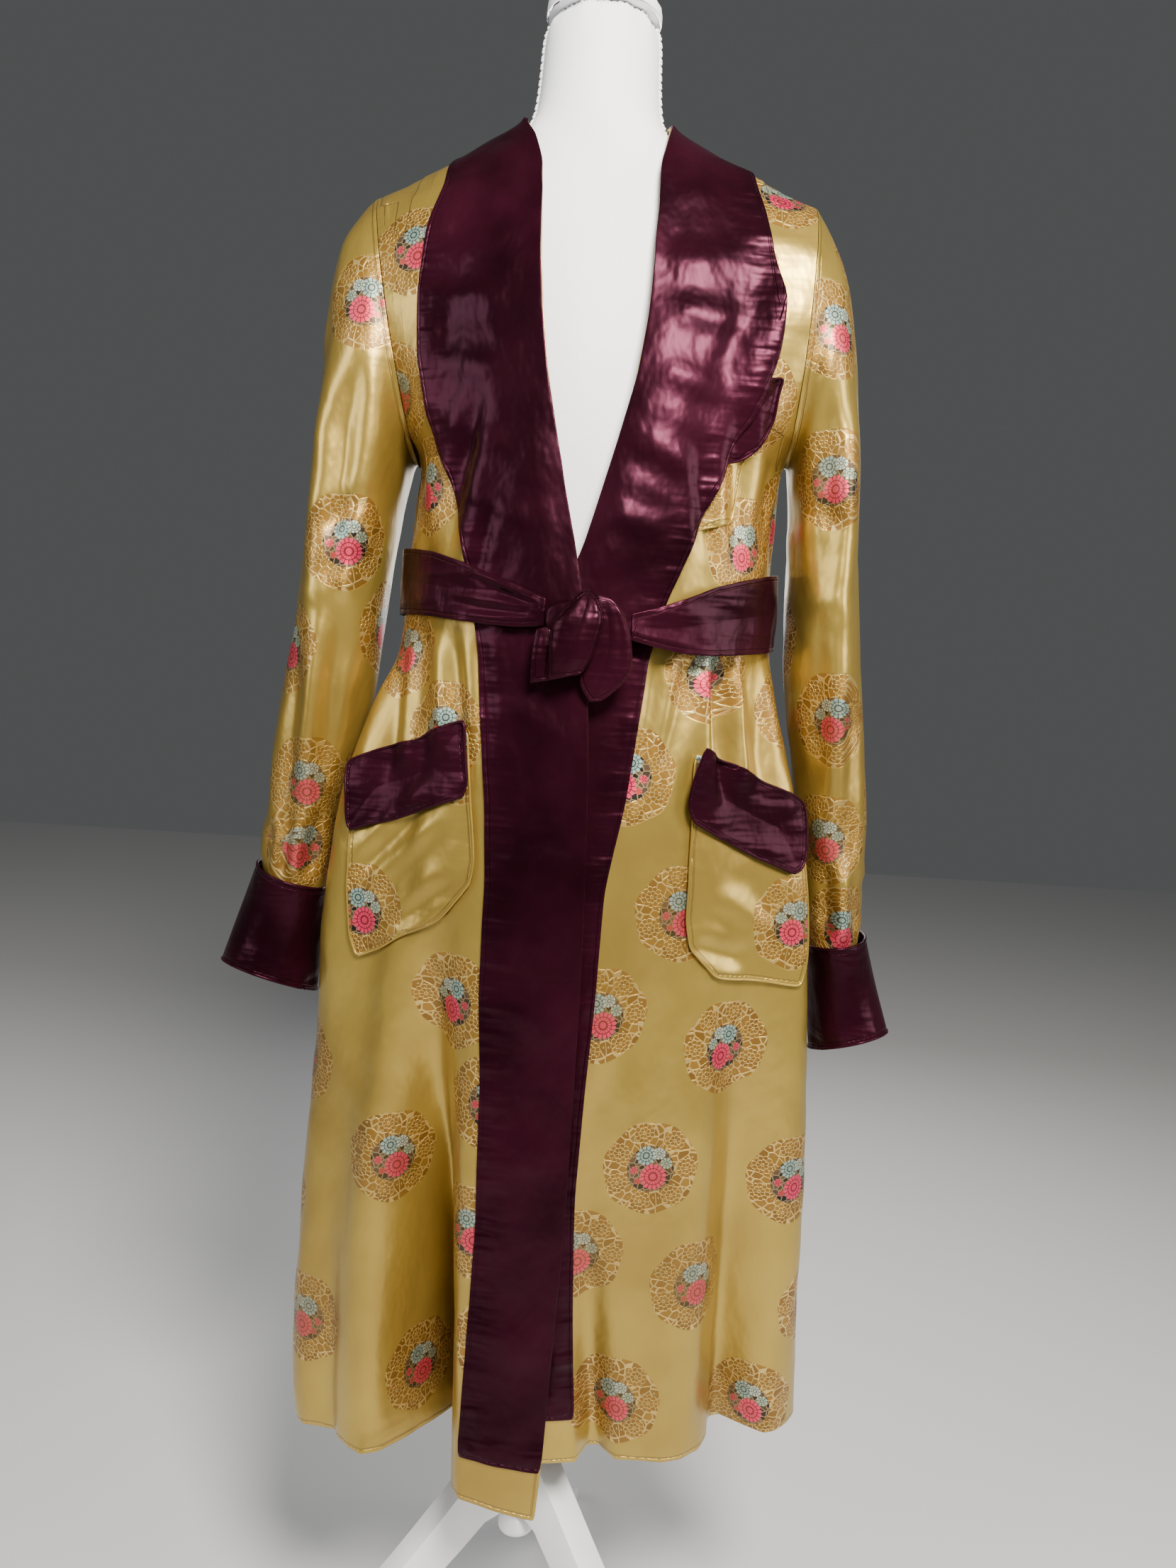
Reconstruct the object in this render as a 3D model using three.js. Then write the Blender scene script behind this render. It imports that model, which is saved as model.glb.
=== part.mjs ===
// Long satin smoking jacket with a shawl collar, worn on a dress form that stands on three legs.
// Millimetres, +Z up, the front looks along -Y. "Right" and "left" are the wearer's own sides,
// so the right front, which laps on top, lies at -X.
import * as THREE from 'three';

// Driving dimensions
const CLOTH = 2;
const SEAM = 0.35;
const ARM_SEAM = 0.5;
const FORM_GAP = 2.6;
const SHOULDER_ROWS = [18, 19, 20];
const SHOULDER_GAP = 4.4;
const FORM_TURN = -6.5;
const COLLAR_CELLS = 5;
const SIDE_ROWS = 14;
const NECK_RADIUS = 59;
const NECK_SHARE = 0.36;
const POLE_RADIUS = 14.5;
const POLE_BOTTOM = 221;
const TORSO_BOTTOM = 826;
const LEG_THICKNESS = 30;
const CUFF = 2.4;
const BELT_CLOTH = 2.6;
const COLLAR_LIFT = 3.8;
const COLLAR_BACK = 80;
const COLLAR_SIDE = 76;
const COLLAR_RISE = 12;
const PATCH_LIFT = 2;
const FLAP_LIFT = PATCH_LIFT + CLOTH + 2;
const FORM_SIDES = 24;
const STRIP_SIDES = 12;

const GOLD = { color: 0xcfae62, roughness: 0.38, metalness: 0.1 };
const BURGUNDY = { color: 0x3d1226, roughness: 0.32, metalness: 0.05 };
const FORM_WHITE = { color: 0xf1f0f3, roughness: 0.6, metalness: 0 };
const LEG_WHITE = { color: 0xf5f5f5, roughness: 0.4, metalness: 0 };

// Tables: named columns first, then a row for each section or fold
function table(columns, ...rows) {
  const names = columns.split(' ');
  return rows.map((row) => Object.fromEntries(names.map((name, i) => [name, row[i]])));
}

// Smooth value of a column at a place between two rows
function between(rows, column, place) {
  const last = rows.length - 1;
  const i = Math.min(Math.floor(place), last - 1);
  const t = place - i;
  const at = (k) => rows[Math.max(0, Math.min(last, k))][column];
  const [a, b, c, d] = [at(i - 1), at(i), at(i + 1), at(i + 2)];
  return b + 0.5 * t * (c - a + t * (2 * a - 5 * b + 4 * c - d + t * (3 * (b - c) + d - a)));
}

// Value of a column at a height, in a table whose heights rise
function atHeight(rows, column, z) {
  const last = rows.length - 1;
  if (z <= rows[0].z) return rows[0][column];
  if (z >= rows[last].z) return rows[last][column];
  const i = rows.findIndex((row) => row.z > z) - 1;
  const t = (z - rows[i].z) / (rows[i + 1].z - rows[i].z);
  return rows[i][column] * (1 - t) + rows[i + 1][column] * t;
}

const lerp = (a, b, t) => a + (b - a) * t;
const rad = THREE.MathUtils.degToRad;
const smooth = (t) => THREE.MathUtils.smoothstep(t, 0, 1);
const vec = (x, y, z) => new THREE.Vector3(x, y, z);
const steps = (count) => Array.from({ length: count + 1 }, (_, i) => i / count);

// Dress form: half width, depth to the front and depth to the back at each height
const FORM = table('z wide front back',
  [826, 96, 70, 70], [829, 122, 90, 90], [840, 140, 103, 104], [870, 150, 109, 112],
  [950, 151, 110, 114], [1050, 143, 106, 108], [1150, 134, 102, 98], [1230, 138, 106, 102],
  [1300, 142, 111, 108], [1370, 150, 109, 113], [1430, 163, 100, 111], [1475, 176, 87, 104],
  [1503, 183, 76, 95], [1518, 182, 68, 88], [1533, 166, 63, 81], [1545, 138, 60, 75],
  [1558, 107, 58, 69], [1573, 80, 57, 64], [1587, 63, 56.5, 60], [1604, 57, 56, 58],
  [1650, 54.5, 54.5, 55], [1686, 53.5, 53.5, 53.5]);

// How far a place lies outside the form's sections, as a share of their size
function formShare(point) {
  const p = point.clone().applyAxisAngle(vec(0, 0, 1), rad(-FORM_TURN));
  const wide = atHeight(FORM, 'wide', p.z);
  const deep = atHeight(FORM, p.y < 0 ? 'front' : 'back', p.z);
  return Math.hypot(p.x / wide, p.y / deep) - 1;
}

// Moves a point straight out from the form's surface until it is clear of it
function clearOfForm(point, gap) {
  if (point.z < TORSO_BOTTOM) return point;
  for (let round = 0; round < 5; round += 1) {
    const here = formShare(point);
    const slope = vec(
      formShare(point.clone().add(vec(0.5, 0, 0))) - formShare(point.clone().add(vec(-0.5, 0, 0))),
      formShare(point.clone().add(vec(0, 0.5, 0))) - formShare(point.clone().add(vec(0, -0.5, 0))),
      formShare(point.clone().add(vec(0, 0, 0.5))) - formShare(point.clone().add(vec(0, 0, -0.5))));
    const short = gap - here / slope.length();
    if (short <= 0) return point;
    point.addScaledVector(slope.normalize(), short);
  }
  return point;
}

// Sheets are grids of points: sheet[row][column]
function normals(sheet, closed, flip) {
  const rows = sheet.length;
  const columns = sheet[0].length;
  return sheet.map((line, r) => line.map((_, c) => {
    const up = sheet[Math.min(r + 1, rows - 1)][c].clone().sub(sheet[Math.max(r - 1, 0)][c]);
    const next = closed ? (c + 1) % columns : Math.min(c + 1, columns - 1);
    const previous = closed ? (c + columns - 1) % columns : Math.max(c - 1, 0);
    const along = sheet[r][next].clone().sub(sheet[r][previous]);
    return along.cross(up).normalize().multiplyScalar(flip ? -1 : 1);
  }));
}

// The sheet moved along its normals by a distance, or by a function of row and column
function moved(sheet, normal, distance) {
  const amount = typeof distance === 'function' ? distance : () => distance;
  return sheet.map((line, r) => line.map((p, c) => p.clone().addScaledVector(normal[r][c], amount(r, c))));
}

// A closed solid between two grids of the same size
function solidBetween(inner, outer, closed = false) {
  const rows = inner.length;
  const columns = inner[0].length;
  const points = [...inner.flat(), ...outer.flat()];
  const index = (layer, r, c) => layer * rows * columns + r * columns + (c % columns);
  const faces = [];
  const quad = (a, b, c, d) => faces.push(a, b, c, a, c, d);
  const spans = closed ? columns : columns - 1;
  for (let r = 0; r < rows - 1; r += 1) {
    for (let c = 0; c < spans; c += 1) {
      quad(index(1, r, c), index(1, r, c + 1), index(1, r + 1, c + 1), index(1, r + 1, c));
      quad(index(0, r, c), index(0, r + 1, c), index(0, r + 1, c + 1), index(0, r, c + 1));
    }
    if (!closed) {
      const end = columns - 1;
      quad(index(0, r, 0), index(1, r, 0), index(1, r + 1, 0), index(0, r + 1, 0));
      quad(index(1, r, end), index(0, r, end), index(0, r + 1, end), index(1, r + 1, end));
    }
  }
  for (let c = 0; c < spans; c += 1) {
    const top = rows - 1;
    quad(index(0, 0, c), index(0, 0, c + 1), index(1, 0, c + 1), index(1, 0, c));
    quad(index(1, top, c), index(1, top, c + 1), index(0, top, c + 1), index(0, top, c));
  }
  return facingOut(points, faces);
}

// A geometry from points and faces, turned so that its faces point out
function facingOut(points, faces) {
  let volume = 0;
  for (let i = 0; i < faces.length; i += 3) {
    const [a, b, c] = [points[faces[i]], points[faces[i + 1]], points[faces[i + 2]]];
    volume += a.dot(b.clone().cross(c));
  }
  if (volume < 0) faces.reverse();
  const geometry = new THREE.BufferGeometry().setFromPoints(points);
  geometry.setIndex(faces);
  return geometry;
}

const jacket = new THREE.Group();

function add(name, geometry, look) {
  geometry.computeVertexNormals();
  const mesh = new THREE.Mesh(geometry, new THREE.MeshStandardMaterial(look));
  mesh.name = name;
  jacket.add(mesh);
  return mesh;
}

// Front panels: front edge, width of the collar or band that lies on it, side seam, roundness.
// From the underarm up the side follows the armhole, arm being the angle from its lowest point.
// Rise lifts the middle of a row above the line from its edge to its side.
const RIGHT_FRONT = table('ex ey ez collar sx sy sz arm round rise',
  [20, -142, 318, 70, -219, 14, 318, 0, 1, 22],
  [23, -140, 364, 73, -221, 14, 366, 0, 1, 10],
  [27, -137, 480, 76, -224, 14, 480, 0, 1, 0],
  [31, -135, 600, 79, -225, 13, 600, 0, 1, 0],
  [32, -135, 715, 82, -220, 13, 715, 0, 1, 0],
  [32, -136, 812, 85, -210, 13, 812, 0, 1, 0],
  [31, -137, 895, 88, -198, 14, 895, 0, 1, 0],
  [29, -138, 970, 91, -185, 14, 970, 0, 1, 0],
  [25, -138, 1040, 93, -171, 10, 1040, 0, 1, 0],
  [21, -136, 1098, 95, -159, 8, 1098, 0, 1, 0],
  [14, -134, 1150, 98, -155, 6, 1150, 0, 1, 0],
  [5, -133, 1195, 103, -154, 6, 1197, 0, 1, 0],
  [-6, -131, 1240, 109, -152, 8, 1238, 0, 1, 0],
  [-16, -128, 1287, 116, -150, 10, 1272, 0, 1, 0],
  [-27, -124, 1340, 120, 0, 0, 0, 38, 0.85, 0],
  [-34, -117, 1393, 121, 0, 0, 0, 68, 0.6, 0],
  [-39, -107, 1443, 115, 0, 0, 0, 94, 0.45, 0],
  [-42, -90, 1492, 105, 0, 0, 0, 120, 0.35, 0],
  [-45, -67, 1533, 92, 0, 0, 0, 144, 0.25, 0],
  [-51, -45, 1560, 84, 0, 0, 0, 162, 0.15, 0],
  [-57, -23, 1579, 79, 0, 0, 0, 172, 0.06, 0],
  [-59, 2, 1592, 76, 0, 0, 0, 180, 0, 0]);

const LEFT_FRONT = table('ex ey ez collar sx sy sz arm round',
  [-20, -96, 340, 74, 273, -2, 352, 0, 1],
  [-25, -100, 388, 74, 271, -3, 392, 0, 1],
  [-33, -106, 500, 72, 266, -4, 500, 0, 1],
  [-36, -112, 610, 73, 259, -6, 610, 0, 1],
  [-36, -118, 720, 75, 251, -8, 718, 0, 1],
  [-34, -122, 815, 78, 240, -9, 815, 0, 1],
  [-33, -124, 895, 80, 230, -10, 895, 0, 1],
  [-29, -126, 970, 86, 218, -10, 970, 0, 1],
  [-24, -127, 1040, 90, 204, -9, 1040, 0, 1],
  [-19, -126, 1098, 90, 193, -8, 1098, 0, 1],
  [-6, -125, 1150, 90, 188, -7, 1150, 0, 1],
  [12, -124, 1195, 88, 187, -7, 1197, 0, 1],
  [24, -123, 1240, 94, 189, -7, 1238, 0, 1],
  [36, -121, 1287, 100, 191, -6, 1286, 0, 1],
  [48, -118, 1340, 106, 0, 0, 0, 38, 0.85],
  [55, -112, 1393, 111, 0, 0, 0, 68, 0.6],
  [58, -103, 1443, 111, 0, 0, 0, 94, 0.45],
  [59, -87, 1492, 103, 0, 0, 0, 120, 0.35],
  [59, -63, 1533, 92, 0, 0, 0, 144, 0.25],
  [60, -43, 1561, 84, 0, 0, 0, 162, 0.15],
  [61, -22, 1580, 79, 0, 0, 0, 172, 0.06],
  [59, -2, 1593, 76, 0, 0, 0, 180, 0]);

// Armholes: underarm, shoulder tip and half depth
const ARMHOLE = {
  right: { low: vec(-150, 10, 1272), high: vec(-202, 20, 1521), deep: 80 },
  left: { low: vec(191, -6, 1286), high: vec(202, -20, 1520), deep: 80 },
};

function armhole(side, degrees, facing) {
  const { low, high, deep } = ARMHOLE[side];
  const share = (1 - Math.cos(rad(degrees))) / 2;
  const point = low.clone().lerp(high, share);
  point.y += facing * deep * Math.sin(rad(degrees));
  return point;
}

function sidePoint(rows, side, row, facing) {
  const angle = between(rows, 'arm', row);
  if (row >= SIDE_ROWS) return armhole(side, Math.max(0, Math.min(180, angle)), facing);
  return vec(between(rows, 'sx', row), between(rows, 'sy', row), between(rows, 'sz', row));
}

// Folds of a panel: place across it at the low and high end, half width, depth inwards,
// and the heights where the fold ends, is deepest and starts
const RIGHT_FOLDS = table('low high half deep end peak start',
  [0.19, 0.2, 0.19, 148, 300, 318, 900],
  [0.6, 0.62, 0.14, 12, 300, 320, 760],
  [0.8, 0.74, 0.24, -21, 300, 330, 860],
  [0.7, 0.7, 0.3, -34, 640, 955, 1130],
  [0.5, 0.42, 0.16, 9, 960, 1060, 1130],
  [0.86, 0.84, 0.13, 8, 980, 1070, 1130],
  [0.45, 0.5, 0.2, 6, 1180, 1230, 1340],
  [0.85, 0.9, 0.14, 7, 1180, 1225, 1290]);

const LEFT_FOLDS = table('low high half deep end peak start',
  [0.055, 0.05, 0.055, 34, 300, 330, 700],
  [0.5, 0.47, 0.17, 50, 300, 330, 870],
  [0.25, 0.25, 0.12, -9, 300, 330, 820],
  [0.8, 0.74, 0.22, -22, 300, 900, 1150],
  [0.44, 0.36, 0.1, 13, 940, 1050, 1150],
  [0.68, 0.64, 0.1, 9, 980, 1060, 1130],
  [0.5, 0.55, 0.18, 7, 1180, 1230, 1340],
  [0.84, 0.88, 0.14, 8, 1180, 1225, 1290]);

const BACK_FOLDS = table('low high half deep end peak start',
  [0.1, 0.08, 0.09, 22, 300, 330, 1000],
  [0.36, 0.28, 0.1, 26, 300, 330, 1060],
  [0.66, 0.5, 0.11, 24, 300, 330, 1000],
  [0.88, 0.8, 0.09, 14, 300, 330, 900],
  [0.2, 0.22, 0.1, 7, 1000, 1060, 1130],
  [0.3, 0.34, 0.13, 7, 1180, 1225, 1340],
  [0.75, 0.78, 0.14, 7, 1180, 1225, 1310]);

function foldDepth(folds, across, z) {
  return folds.reduce((sum, fold) => {
    if (z <= fold.end || z >= fold.start) return sum;
    const far = z > fold.peak ? fold.start : fold.end;
    const weight = (far - z) / (far - fold.peak);
    const centre = lerp(fold.low, fold.high, (z - fold.end) / (fold.start - fold.end));
    const off = Math.abs(across - centre) / fold.half;
    return off >= 1 ? sum : sum + fold.deep * smooth(weight) * Math.cos(off * Math.PI / 2) ** 2;
  }, 0);
}

// A row of a panel, from its centre point to its side point, as part of a rounded section
function rowPoint(centre, side, round, share) {
  const turn = share * Math.PI / 2;
  return vec(
    lerp(centre.x, side.x, lerp(share, Math.sin(turn), round)),
    lerp(centre.y, side.y, lerp(share, 1 - Math.cos(turn), round)),
    lerp(centre.z, side.z, lerp(share, Math.sin(turn), round)));
}

// The same row pushed in or out square to itself, in plan
function foldedPoint(curve, share, depth) {
  const point = curve(share);
  const ahead = curve(Math.min(1, share + 0.01));
  const behind = curve(Math.max(0, share - 0.01));
  const along = vec(ahead.x - behind.x, ahead.y - behind.y, 0).normalize();
  const inwards = vec(-along.y, along.x, 0);
  if (inwards.x * point.x + inwards.y * point.y > 0) inwards.negate();
  return point.addScaledVector(inwards, depth);
}

function frontSheet(rows, side, folds, places) {
  return rows.map((row, r) => {
    const edge = vec(row.ex, row.ey, row.ez);
    const seam = sidePoint(rows, side, r, -1);
    const curve = (share) => rowPoint(edge, seam, row.round, share)
      .add(vec(0, 0, (row.rise ?? 0) * Math.sin(share * Math.PI)));
    const length = steps(40).slice(1).reduce((sum, t) => sum + curve(t).distanceTo(curve(t - 1 / 40)), 0);
    const collarShare = collarEdge(curve, length, row.collar);
    const shares = steps(COLLAR_CELLS).map((t) => t * collarShare);
    const rest = places.map((across) => lerp(collarShare, 1, across));
    return [...shares, ...rest].map((share) => {
      const across = (share - collarShare) / (1 - collarShare);
      const depth = across > 0 ? foldDepth(folds, across, row.ez) : 0;
      const gap = SHOULDER_ROWS.includes(r) ? SHOULDER_GAP : FORM_GAP;
      return clearOfForm(foldedPoint(curve, share, depth), gap);
    });
  });
}

// Share of a row that the collar covers, for its width along the cloth
function collarEdge(curve, length, width) {
  let run = 0;
  for (const t of steps(80).slice(1)) {
    run += curve(t).distanceTo(curve(t - 1 / 80));
    if (run >= width) return t;
  }
  return width / length;
}

// Places across a panel: more of them before a turning place than after it
function cells(turning, before, after) {
  const near = steps(before).slice(1).map((t) => t * turning);
  return [...near, ...steps(after).slice(1).map((t) => lerp(turning, 1, t))];
}

const rightSheet = frontSheet(RIGHT_FRONT, 'right', RIGHT_FOLDS, cells(0.38, 11, 9));
const leftSheet = frontSheet(LEFT_FRONT, 'left', LEFT_FOLDS, cells(0.11, 3, 15));

// Where a panel meets its side seam, its wall stands square to the seam, so both walls meet flush
function squareToSeam(normal, columns) {
  normal.slice(0, SIDE_ROWS).forEach((line) => columns.forEach((c) => line[c].setY(0).normalize()));
  return normal;
}

const rightNormals = squareToSeam(normals(rightSheet, false, true), [rightSheet[0].length - 1]);
const leftNormals = squareToSeam(normals(leftSheet, false, false), [leftSheet[0].length - 1]);

add('front_right', solidBetween(rightSheet, moved(rightSheet, rightNormals, CLOTH)), GOLD);
add('front_left', solidBetween(leftSheet, moved(leftSheet, leftNormals, CLOTH)), GOLD);

// Back panel: centre back at each row, then the shoulder seams and the neck in the last row
const BACK = table('x y z',
  [20, 126, 340], [20, 127, 380], [18, 129, 480], [16, 129, 600], [14, 127, 715], [13, 124, 812],
  [12, 121, 895], [11, 119, 970], [9, 115, 1040], [8, 110, 1098], [8, 107, 1150], [7, 108, 1197],
  [6, 112, 1240], [5, 117, 1290], [4, 121, 1340], [3, 122, 1393], [2, 118, 1443], [1, 110, 1492],
  [0, 98, 1534], [0, 85, 1568], [0, 75, 1591], [0, 65, 1608]);

function topCurve(sign, rows) {
  const neck = rows[rows.length - 1];
  const nape = BACK[BACK.length - 1];
  const start = vec(neck.ex, neck.ey, neck.ez);
  const tip = armhole(sign < 0 ? 'right' : 'left', 180, 1);
  return (share) => {
    if (share > NECK_SHARE) return start.clone().lerp(tip, (share - NECK_SHARE) / (1 - NECK_SHARE));
    const turn = share / NECK_SHARE * Math.PI / 2;
    return vec(sign * NECK_RADIUS * Math.sin(turn), lerp(nape.y, neck.ey, 1 - Math.cos(turn)),
      lerp(nape.z, neck.ez, Math.sin(turn) ** 2));
  };
}

function backHalf(sign, rows, side) {
  const shares = steps(12);
  return BACK.map((centre, r) => {
    const last = r === BACK.length - 1;
    const seam = sidePoint(rows, side, r, 1);
    const middle = vec(centre.x, centre.y, centre.z);
    const round = lerp(1, rows[r].round, 0.7);
    const curve = last ? topCurve(sign, rows) : (share) => rowPoint(middle, seam, round, share);
    return shares.map((share) => {
      const across = 0.5 - sign * share / 2;
      const depth = last ? 0 : foldDepth(BACK_FOLDS, across, centre.z);
      return clearOfForm(foldedPoint(curve, share, depth), FORM_GAP);
    });
  });
}

const backRight = backHalf(-1, RIGHT_FRONT, 'right');
const backLeft = backHalf(1, LEFT_FRONT, 'left');
const backSheet = backRight.map((line, r) => [...line.slice(1).reverse(), ...backLeft[r]]);

// The back keeps a seam's width behind the side seams and the shoulder seams
const backShifted = backSheet.map((line, r) => line.map((p, c) => {
  const end = c === 0 || c === line.length - 1;
  const shoulder = r === BACK.length - 1;
  return end || shoulder ? p.clone().add(vec(0, shoulder && !end ? 1 : SEAM, 0)) : p;
}));
const backNormals = squareToSeam(normals(backShifted, false, true), [0, backShifted[0].length - 1]);
add('back', solidBetween(backShifted, moved(backShifted, backNormals, CLOTH)), GOLD);

// Sleeves: inner and outer line of the tube seen from the front, its middle and its half depth.
// The first ring is the armhole; the other rings turn from upright there to level at the wrist.
const RIGHT_SLEEVE = table('ix iz ox oz y deep',
  [-156, 1269, -219, 1505, 12, 83], [-159, 1262, -239, 1464, 12, 85], [-161, 1249, -245, 1405, 12, 85],
  [-166, 1227, -248, 1340, 12, 82], [-171, 1192, -251, 1268, 12, 79], [-175, 1132, -260, 1185, 12, 76],
  [-182, 1062, -270, 1095, 12, 71], [-197, 988, -279, 1010, 12, 65], [-209, 922, -284, 938, 12, 59],
  [-217, 880, -290, 898, 12, 54], [-222, 852, -288, 868, 12, 50]);

const LEFT_SLEEVE = table('ix iz ox oz y deep',
  [200, 1284, 221, 1504, -9, 82], [200, 1277, 238, 1466, -10, 85], [202, 1264, 250, 1411, -8, 85],
  [204, 1240, 257, 1348, -6, 82], [205, 1200, 263, 1275, -4, 79], [206, 1136, 275, 1185, 0, 76],
  [216, 1060, 286, 1090, 4, 71], [229, 985, 297, 1003, 8, 65], [240, 915, 302, 926, 10, 59],
  [247, 866, 307, 878, 10, 54], [252, 826, 304, 836, 10, 50]);

// Cuffs, from the wrist edge up; tilt is how far the front of a ring stands above its middle
const RIGHT_CUFF = table('ix iz ox oz y deep tilt',
  [-231, 754, -326, 782, 12, 56, 12], [-224, 806, -311, 830, 12, 57, 6],
  [-216.8, 861, -294, 883, 12, 57.5, 0]);

const LEFT_CUFF = table('ix iz ox oz y deep tilt',
  [265, 726, 341, 750, 10, 56, 12], [256, 780, 325, 798, 10, 57, 6],
  [246.6, 835, 311.4, 846, 10, 57.5, 0]);

const ARM_ANGLES = RIGHT_FRONT.slice(SIDE_ROWS - 1).map((row) => row.arm);

const RING_ANGLES = [...ARM_ANGLES, ...ARM_ANGLES.slice(1, -1).reverse().map((angle) => -angle)];

function tubeRing(row) {
  return RING_ANGLES.map((angle) => {
    const share = (1 - Math.cos(rad(angle))) / 2;
    const front = Math.sin(rad(angle));
    return vec(lerp(row.ix, row.ox, share), row.y - row.deep * front,
      lerp(row.iz, row.oz, share) + (row.tilt ?? 0) * front);
  });
}

// The armhole ring lies a seam's width outside the outer rim of the panels, square to the armhole
function armholeRing(side, front, backColumn) {
  const { low, high } = ARMHOLE[side];
  const outwards = vec(high.z - low.z, 0, low.x - high.x).normalize();
  if (side === 'right') outwards.negate();
  const last = front.sheet[0].length - 1;
  const rows = ARM_ANGLES.map((_, i) => SIDE_ROWS - 1 + i);
  const rim = (face, column) => rows.map((r) => face.sheet[r][column].clone()
    .addScaledVector(face.normal[r][column], CLOTH).addScaledVector(outwards, ARM_SEAM));
  const points = [...rim(front, last), ...rim(backPanel, backColumn).slice(1, -1).reverse()];
  const middle = low.clone().lerp(high, 0.5);
  const radial = points.map((p) => p.clone().sub(middle).projectOnPlane(outwards).normalize());
  return { points, normals: radial };
}

function tube(name, rings, flip, thick, look, firstNormals) {
  const sheet = rings.slice().reverse();
  const normal = normals(sheet, true, flip);
  if (firstNormals) normal[normal.length - 1] = firstNormals;
  add(name, solidBetween(moved(sheet, normal, -thick), sheet, true), look);
}

const rightPanel = { sheet: rightSheet, normal: rightNormals };
const leftPanel = { sheet: leftSheet, normal: leftNormals };
const backPanel = { sheet: backShifted, normal: backNormals };
const rightRing = armholeRing('right', rightPanel, 0);
const leftRing = armholeRing('left', leftPanel, backShifted[0].length - 1);
const rightRings = [rightRing.points, ...RIGHT_SLEEVE.map(tubeRing)];
const leftRings = [leftRing.points, ...LEFT_SLEEVE.map(tubeRing)];
tube('sleeve_right', rightRings, true, CLOTH, GOLD, rightRing.normals);
tube('sleeve_left', leftRings, false, CLOTH, GOLD, leftRing.normals);
tube('cuff_right', RIGHT_CUFF.slice().reverse().map(tubeRing), true, CUFF, BURGUNDY);
tube('cuff_left', LEFT_CUFF.slice().reverse().map(tubeRing), false, CUFF, BURGUNDY);

// Pieces that lie on the panels are moved out from the nearest point of the panels' outer faces
const outerFaces = [rightPanel, leftPanel, backPanel].map(({ sheet, normal }) => (
  { sheet: moved(sheet, normal, CLOTH), normal }));

function nearestOnFace({ sheet, normal }, point) {
  const triangle = new THREE.Triangle();
  const target = vec(0, 0, 0);
  const best = { distance: Infinity };
  const tryTriangle = (corners, directions) => {
    triangle.set(...corners);
    triangle.closestPointToPoint(point, target);
    const distance = target.distanceTo(point);
    if (distance >= best.distance) return;
    const share = triangle.getBarycoord(target, vec(0, 0, 0));
    best.distance = distance;
    best.point = target.clone();
    best.normal = directions[0].clone().multiplyScalar(share.x)
      .addScaledVector(directions[1], share.y).addScaledVector(directions[2], share.z).normalize();
  };
  for (let r = 0; r < sheet.length - 1; r += 1) {
    for (let c = 0; c < sheet[0].length - 1; c += 1) {
      if (sheet[r][c].distanceTo(point) > 160) continue;
      const a = [r, c];
      const b = [r, c + 1];
      const d = [r + 1, c + 1];
      const e = [r + 1, c];
      for (const three of [[a, b, d], [a, d, e]]) {
        tryTriangle(three.map(([i, j]) => sheet[i][j]), three.map(([i, j]) => normal[i][j]));
      }
    }
  }
  return best;
}

function drape(point, faces, lift) {
  const found = faces.map((face) => nearestOnFace(face, point)).sort((a, b) => a.distance - b.distance)[0];
  return found.point.clone().addScaledVector(found.normal, lift);
}

// Collar and front band of one side: one strip from just above the hem to the centre back.
// On the front it is made from the panel's own points; behind the shoulder seam it lies on the back.
const BACK_TURNS = [84, 74, 64, 54, 42, 28, 14, 0];

function collar(name, sign, sheet, normal, lift) {
  const rows = sheet.slice(1).map((line, r) => line.slice(0, COLLAR_CELLS + 1)
    .map((p, c) => p.clone().addScaledVector(normal[r + 1][c], CLOTH + lift(r + 1, c))));
  const neck = rows[rows.length - 1][0];
  const behind = BACK_TURNS.map((turn) => steps(COLLAR_CELLS).map((across) => {
    const out = vec(sign * Math.sin(rad(turn)), Math.cos(rad(turn)), 0);
    const slope = rad(lerp(62, 29, turn / 90));
    const width = across * lerp(COLLAR_BACK, COLLAR_SIDE, turn / 90);
    const rise = COLLAR_RISE * Math.cos(rad(turn)) ** 2;
    const start = vec(NECK_RADIUS * out.x, 3 + NECK_RADIUS * out.y, neck.z + rise);
    const fall = vec(out.x * Math.cos(slope), out.y * Math.cos(slope), -Math.sin(slope));
    const point = drape(start.addScaledVector(fall, width), [outerFaces[2]], COLLAR_LIFT);
    if (turn === 0) point.x = sign * SEAM / 2;
    return point;
  }));
  const strip = [...rows, ...behind];
  const out = normals(strip, false, sign < 0);
  out.slice(-1)[0].forEach((n) => n.setX(0).normalize());
  add(name, solidBetween(strip, moved(strip, out, CLOTH)), BURGUNDY);
}

// Rows near the shoulder seam lift towards the back's height
const shoulderLift = (r) => SEAM + 1.6 * smooth(r - 19.5);
// The left collar lies over the breast pocket
const overPocket = (r, c) => 7.2 * smooth(c / 1.4) * smooth(r - 10) * smooth(16.5 - r);

collar('collar_band_right', -1, rightSheet, rightNormals, (r) => shoulderLift(r));
collar('collar_band_left', 1, leftSheet, leftNormals, (r, c) => shoulderLift(r) + overPocket(r, c));

// Patch pockets: corners in space, then the share of the height and width that the lower corners
// round off, and how far the piece stands out. The turned-over tops hang outside as burgundy flaps.
const [rightFace, leftFace] = outerFaces;

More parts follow.
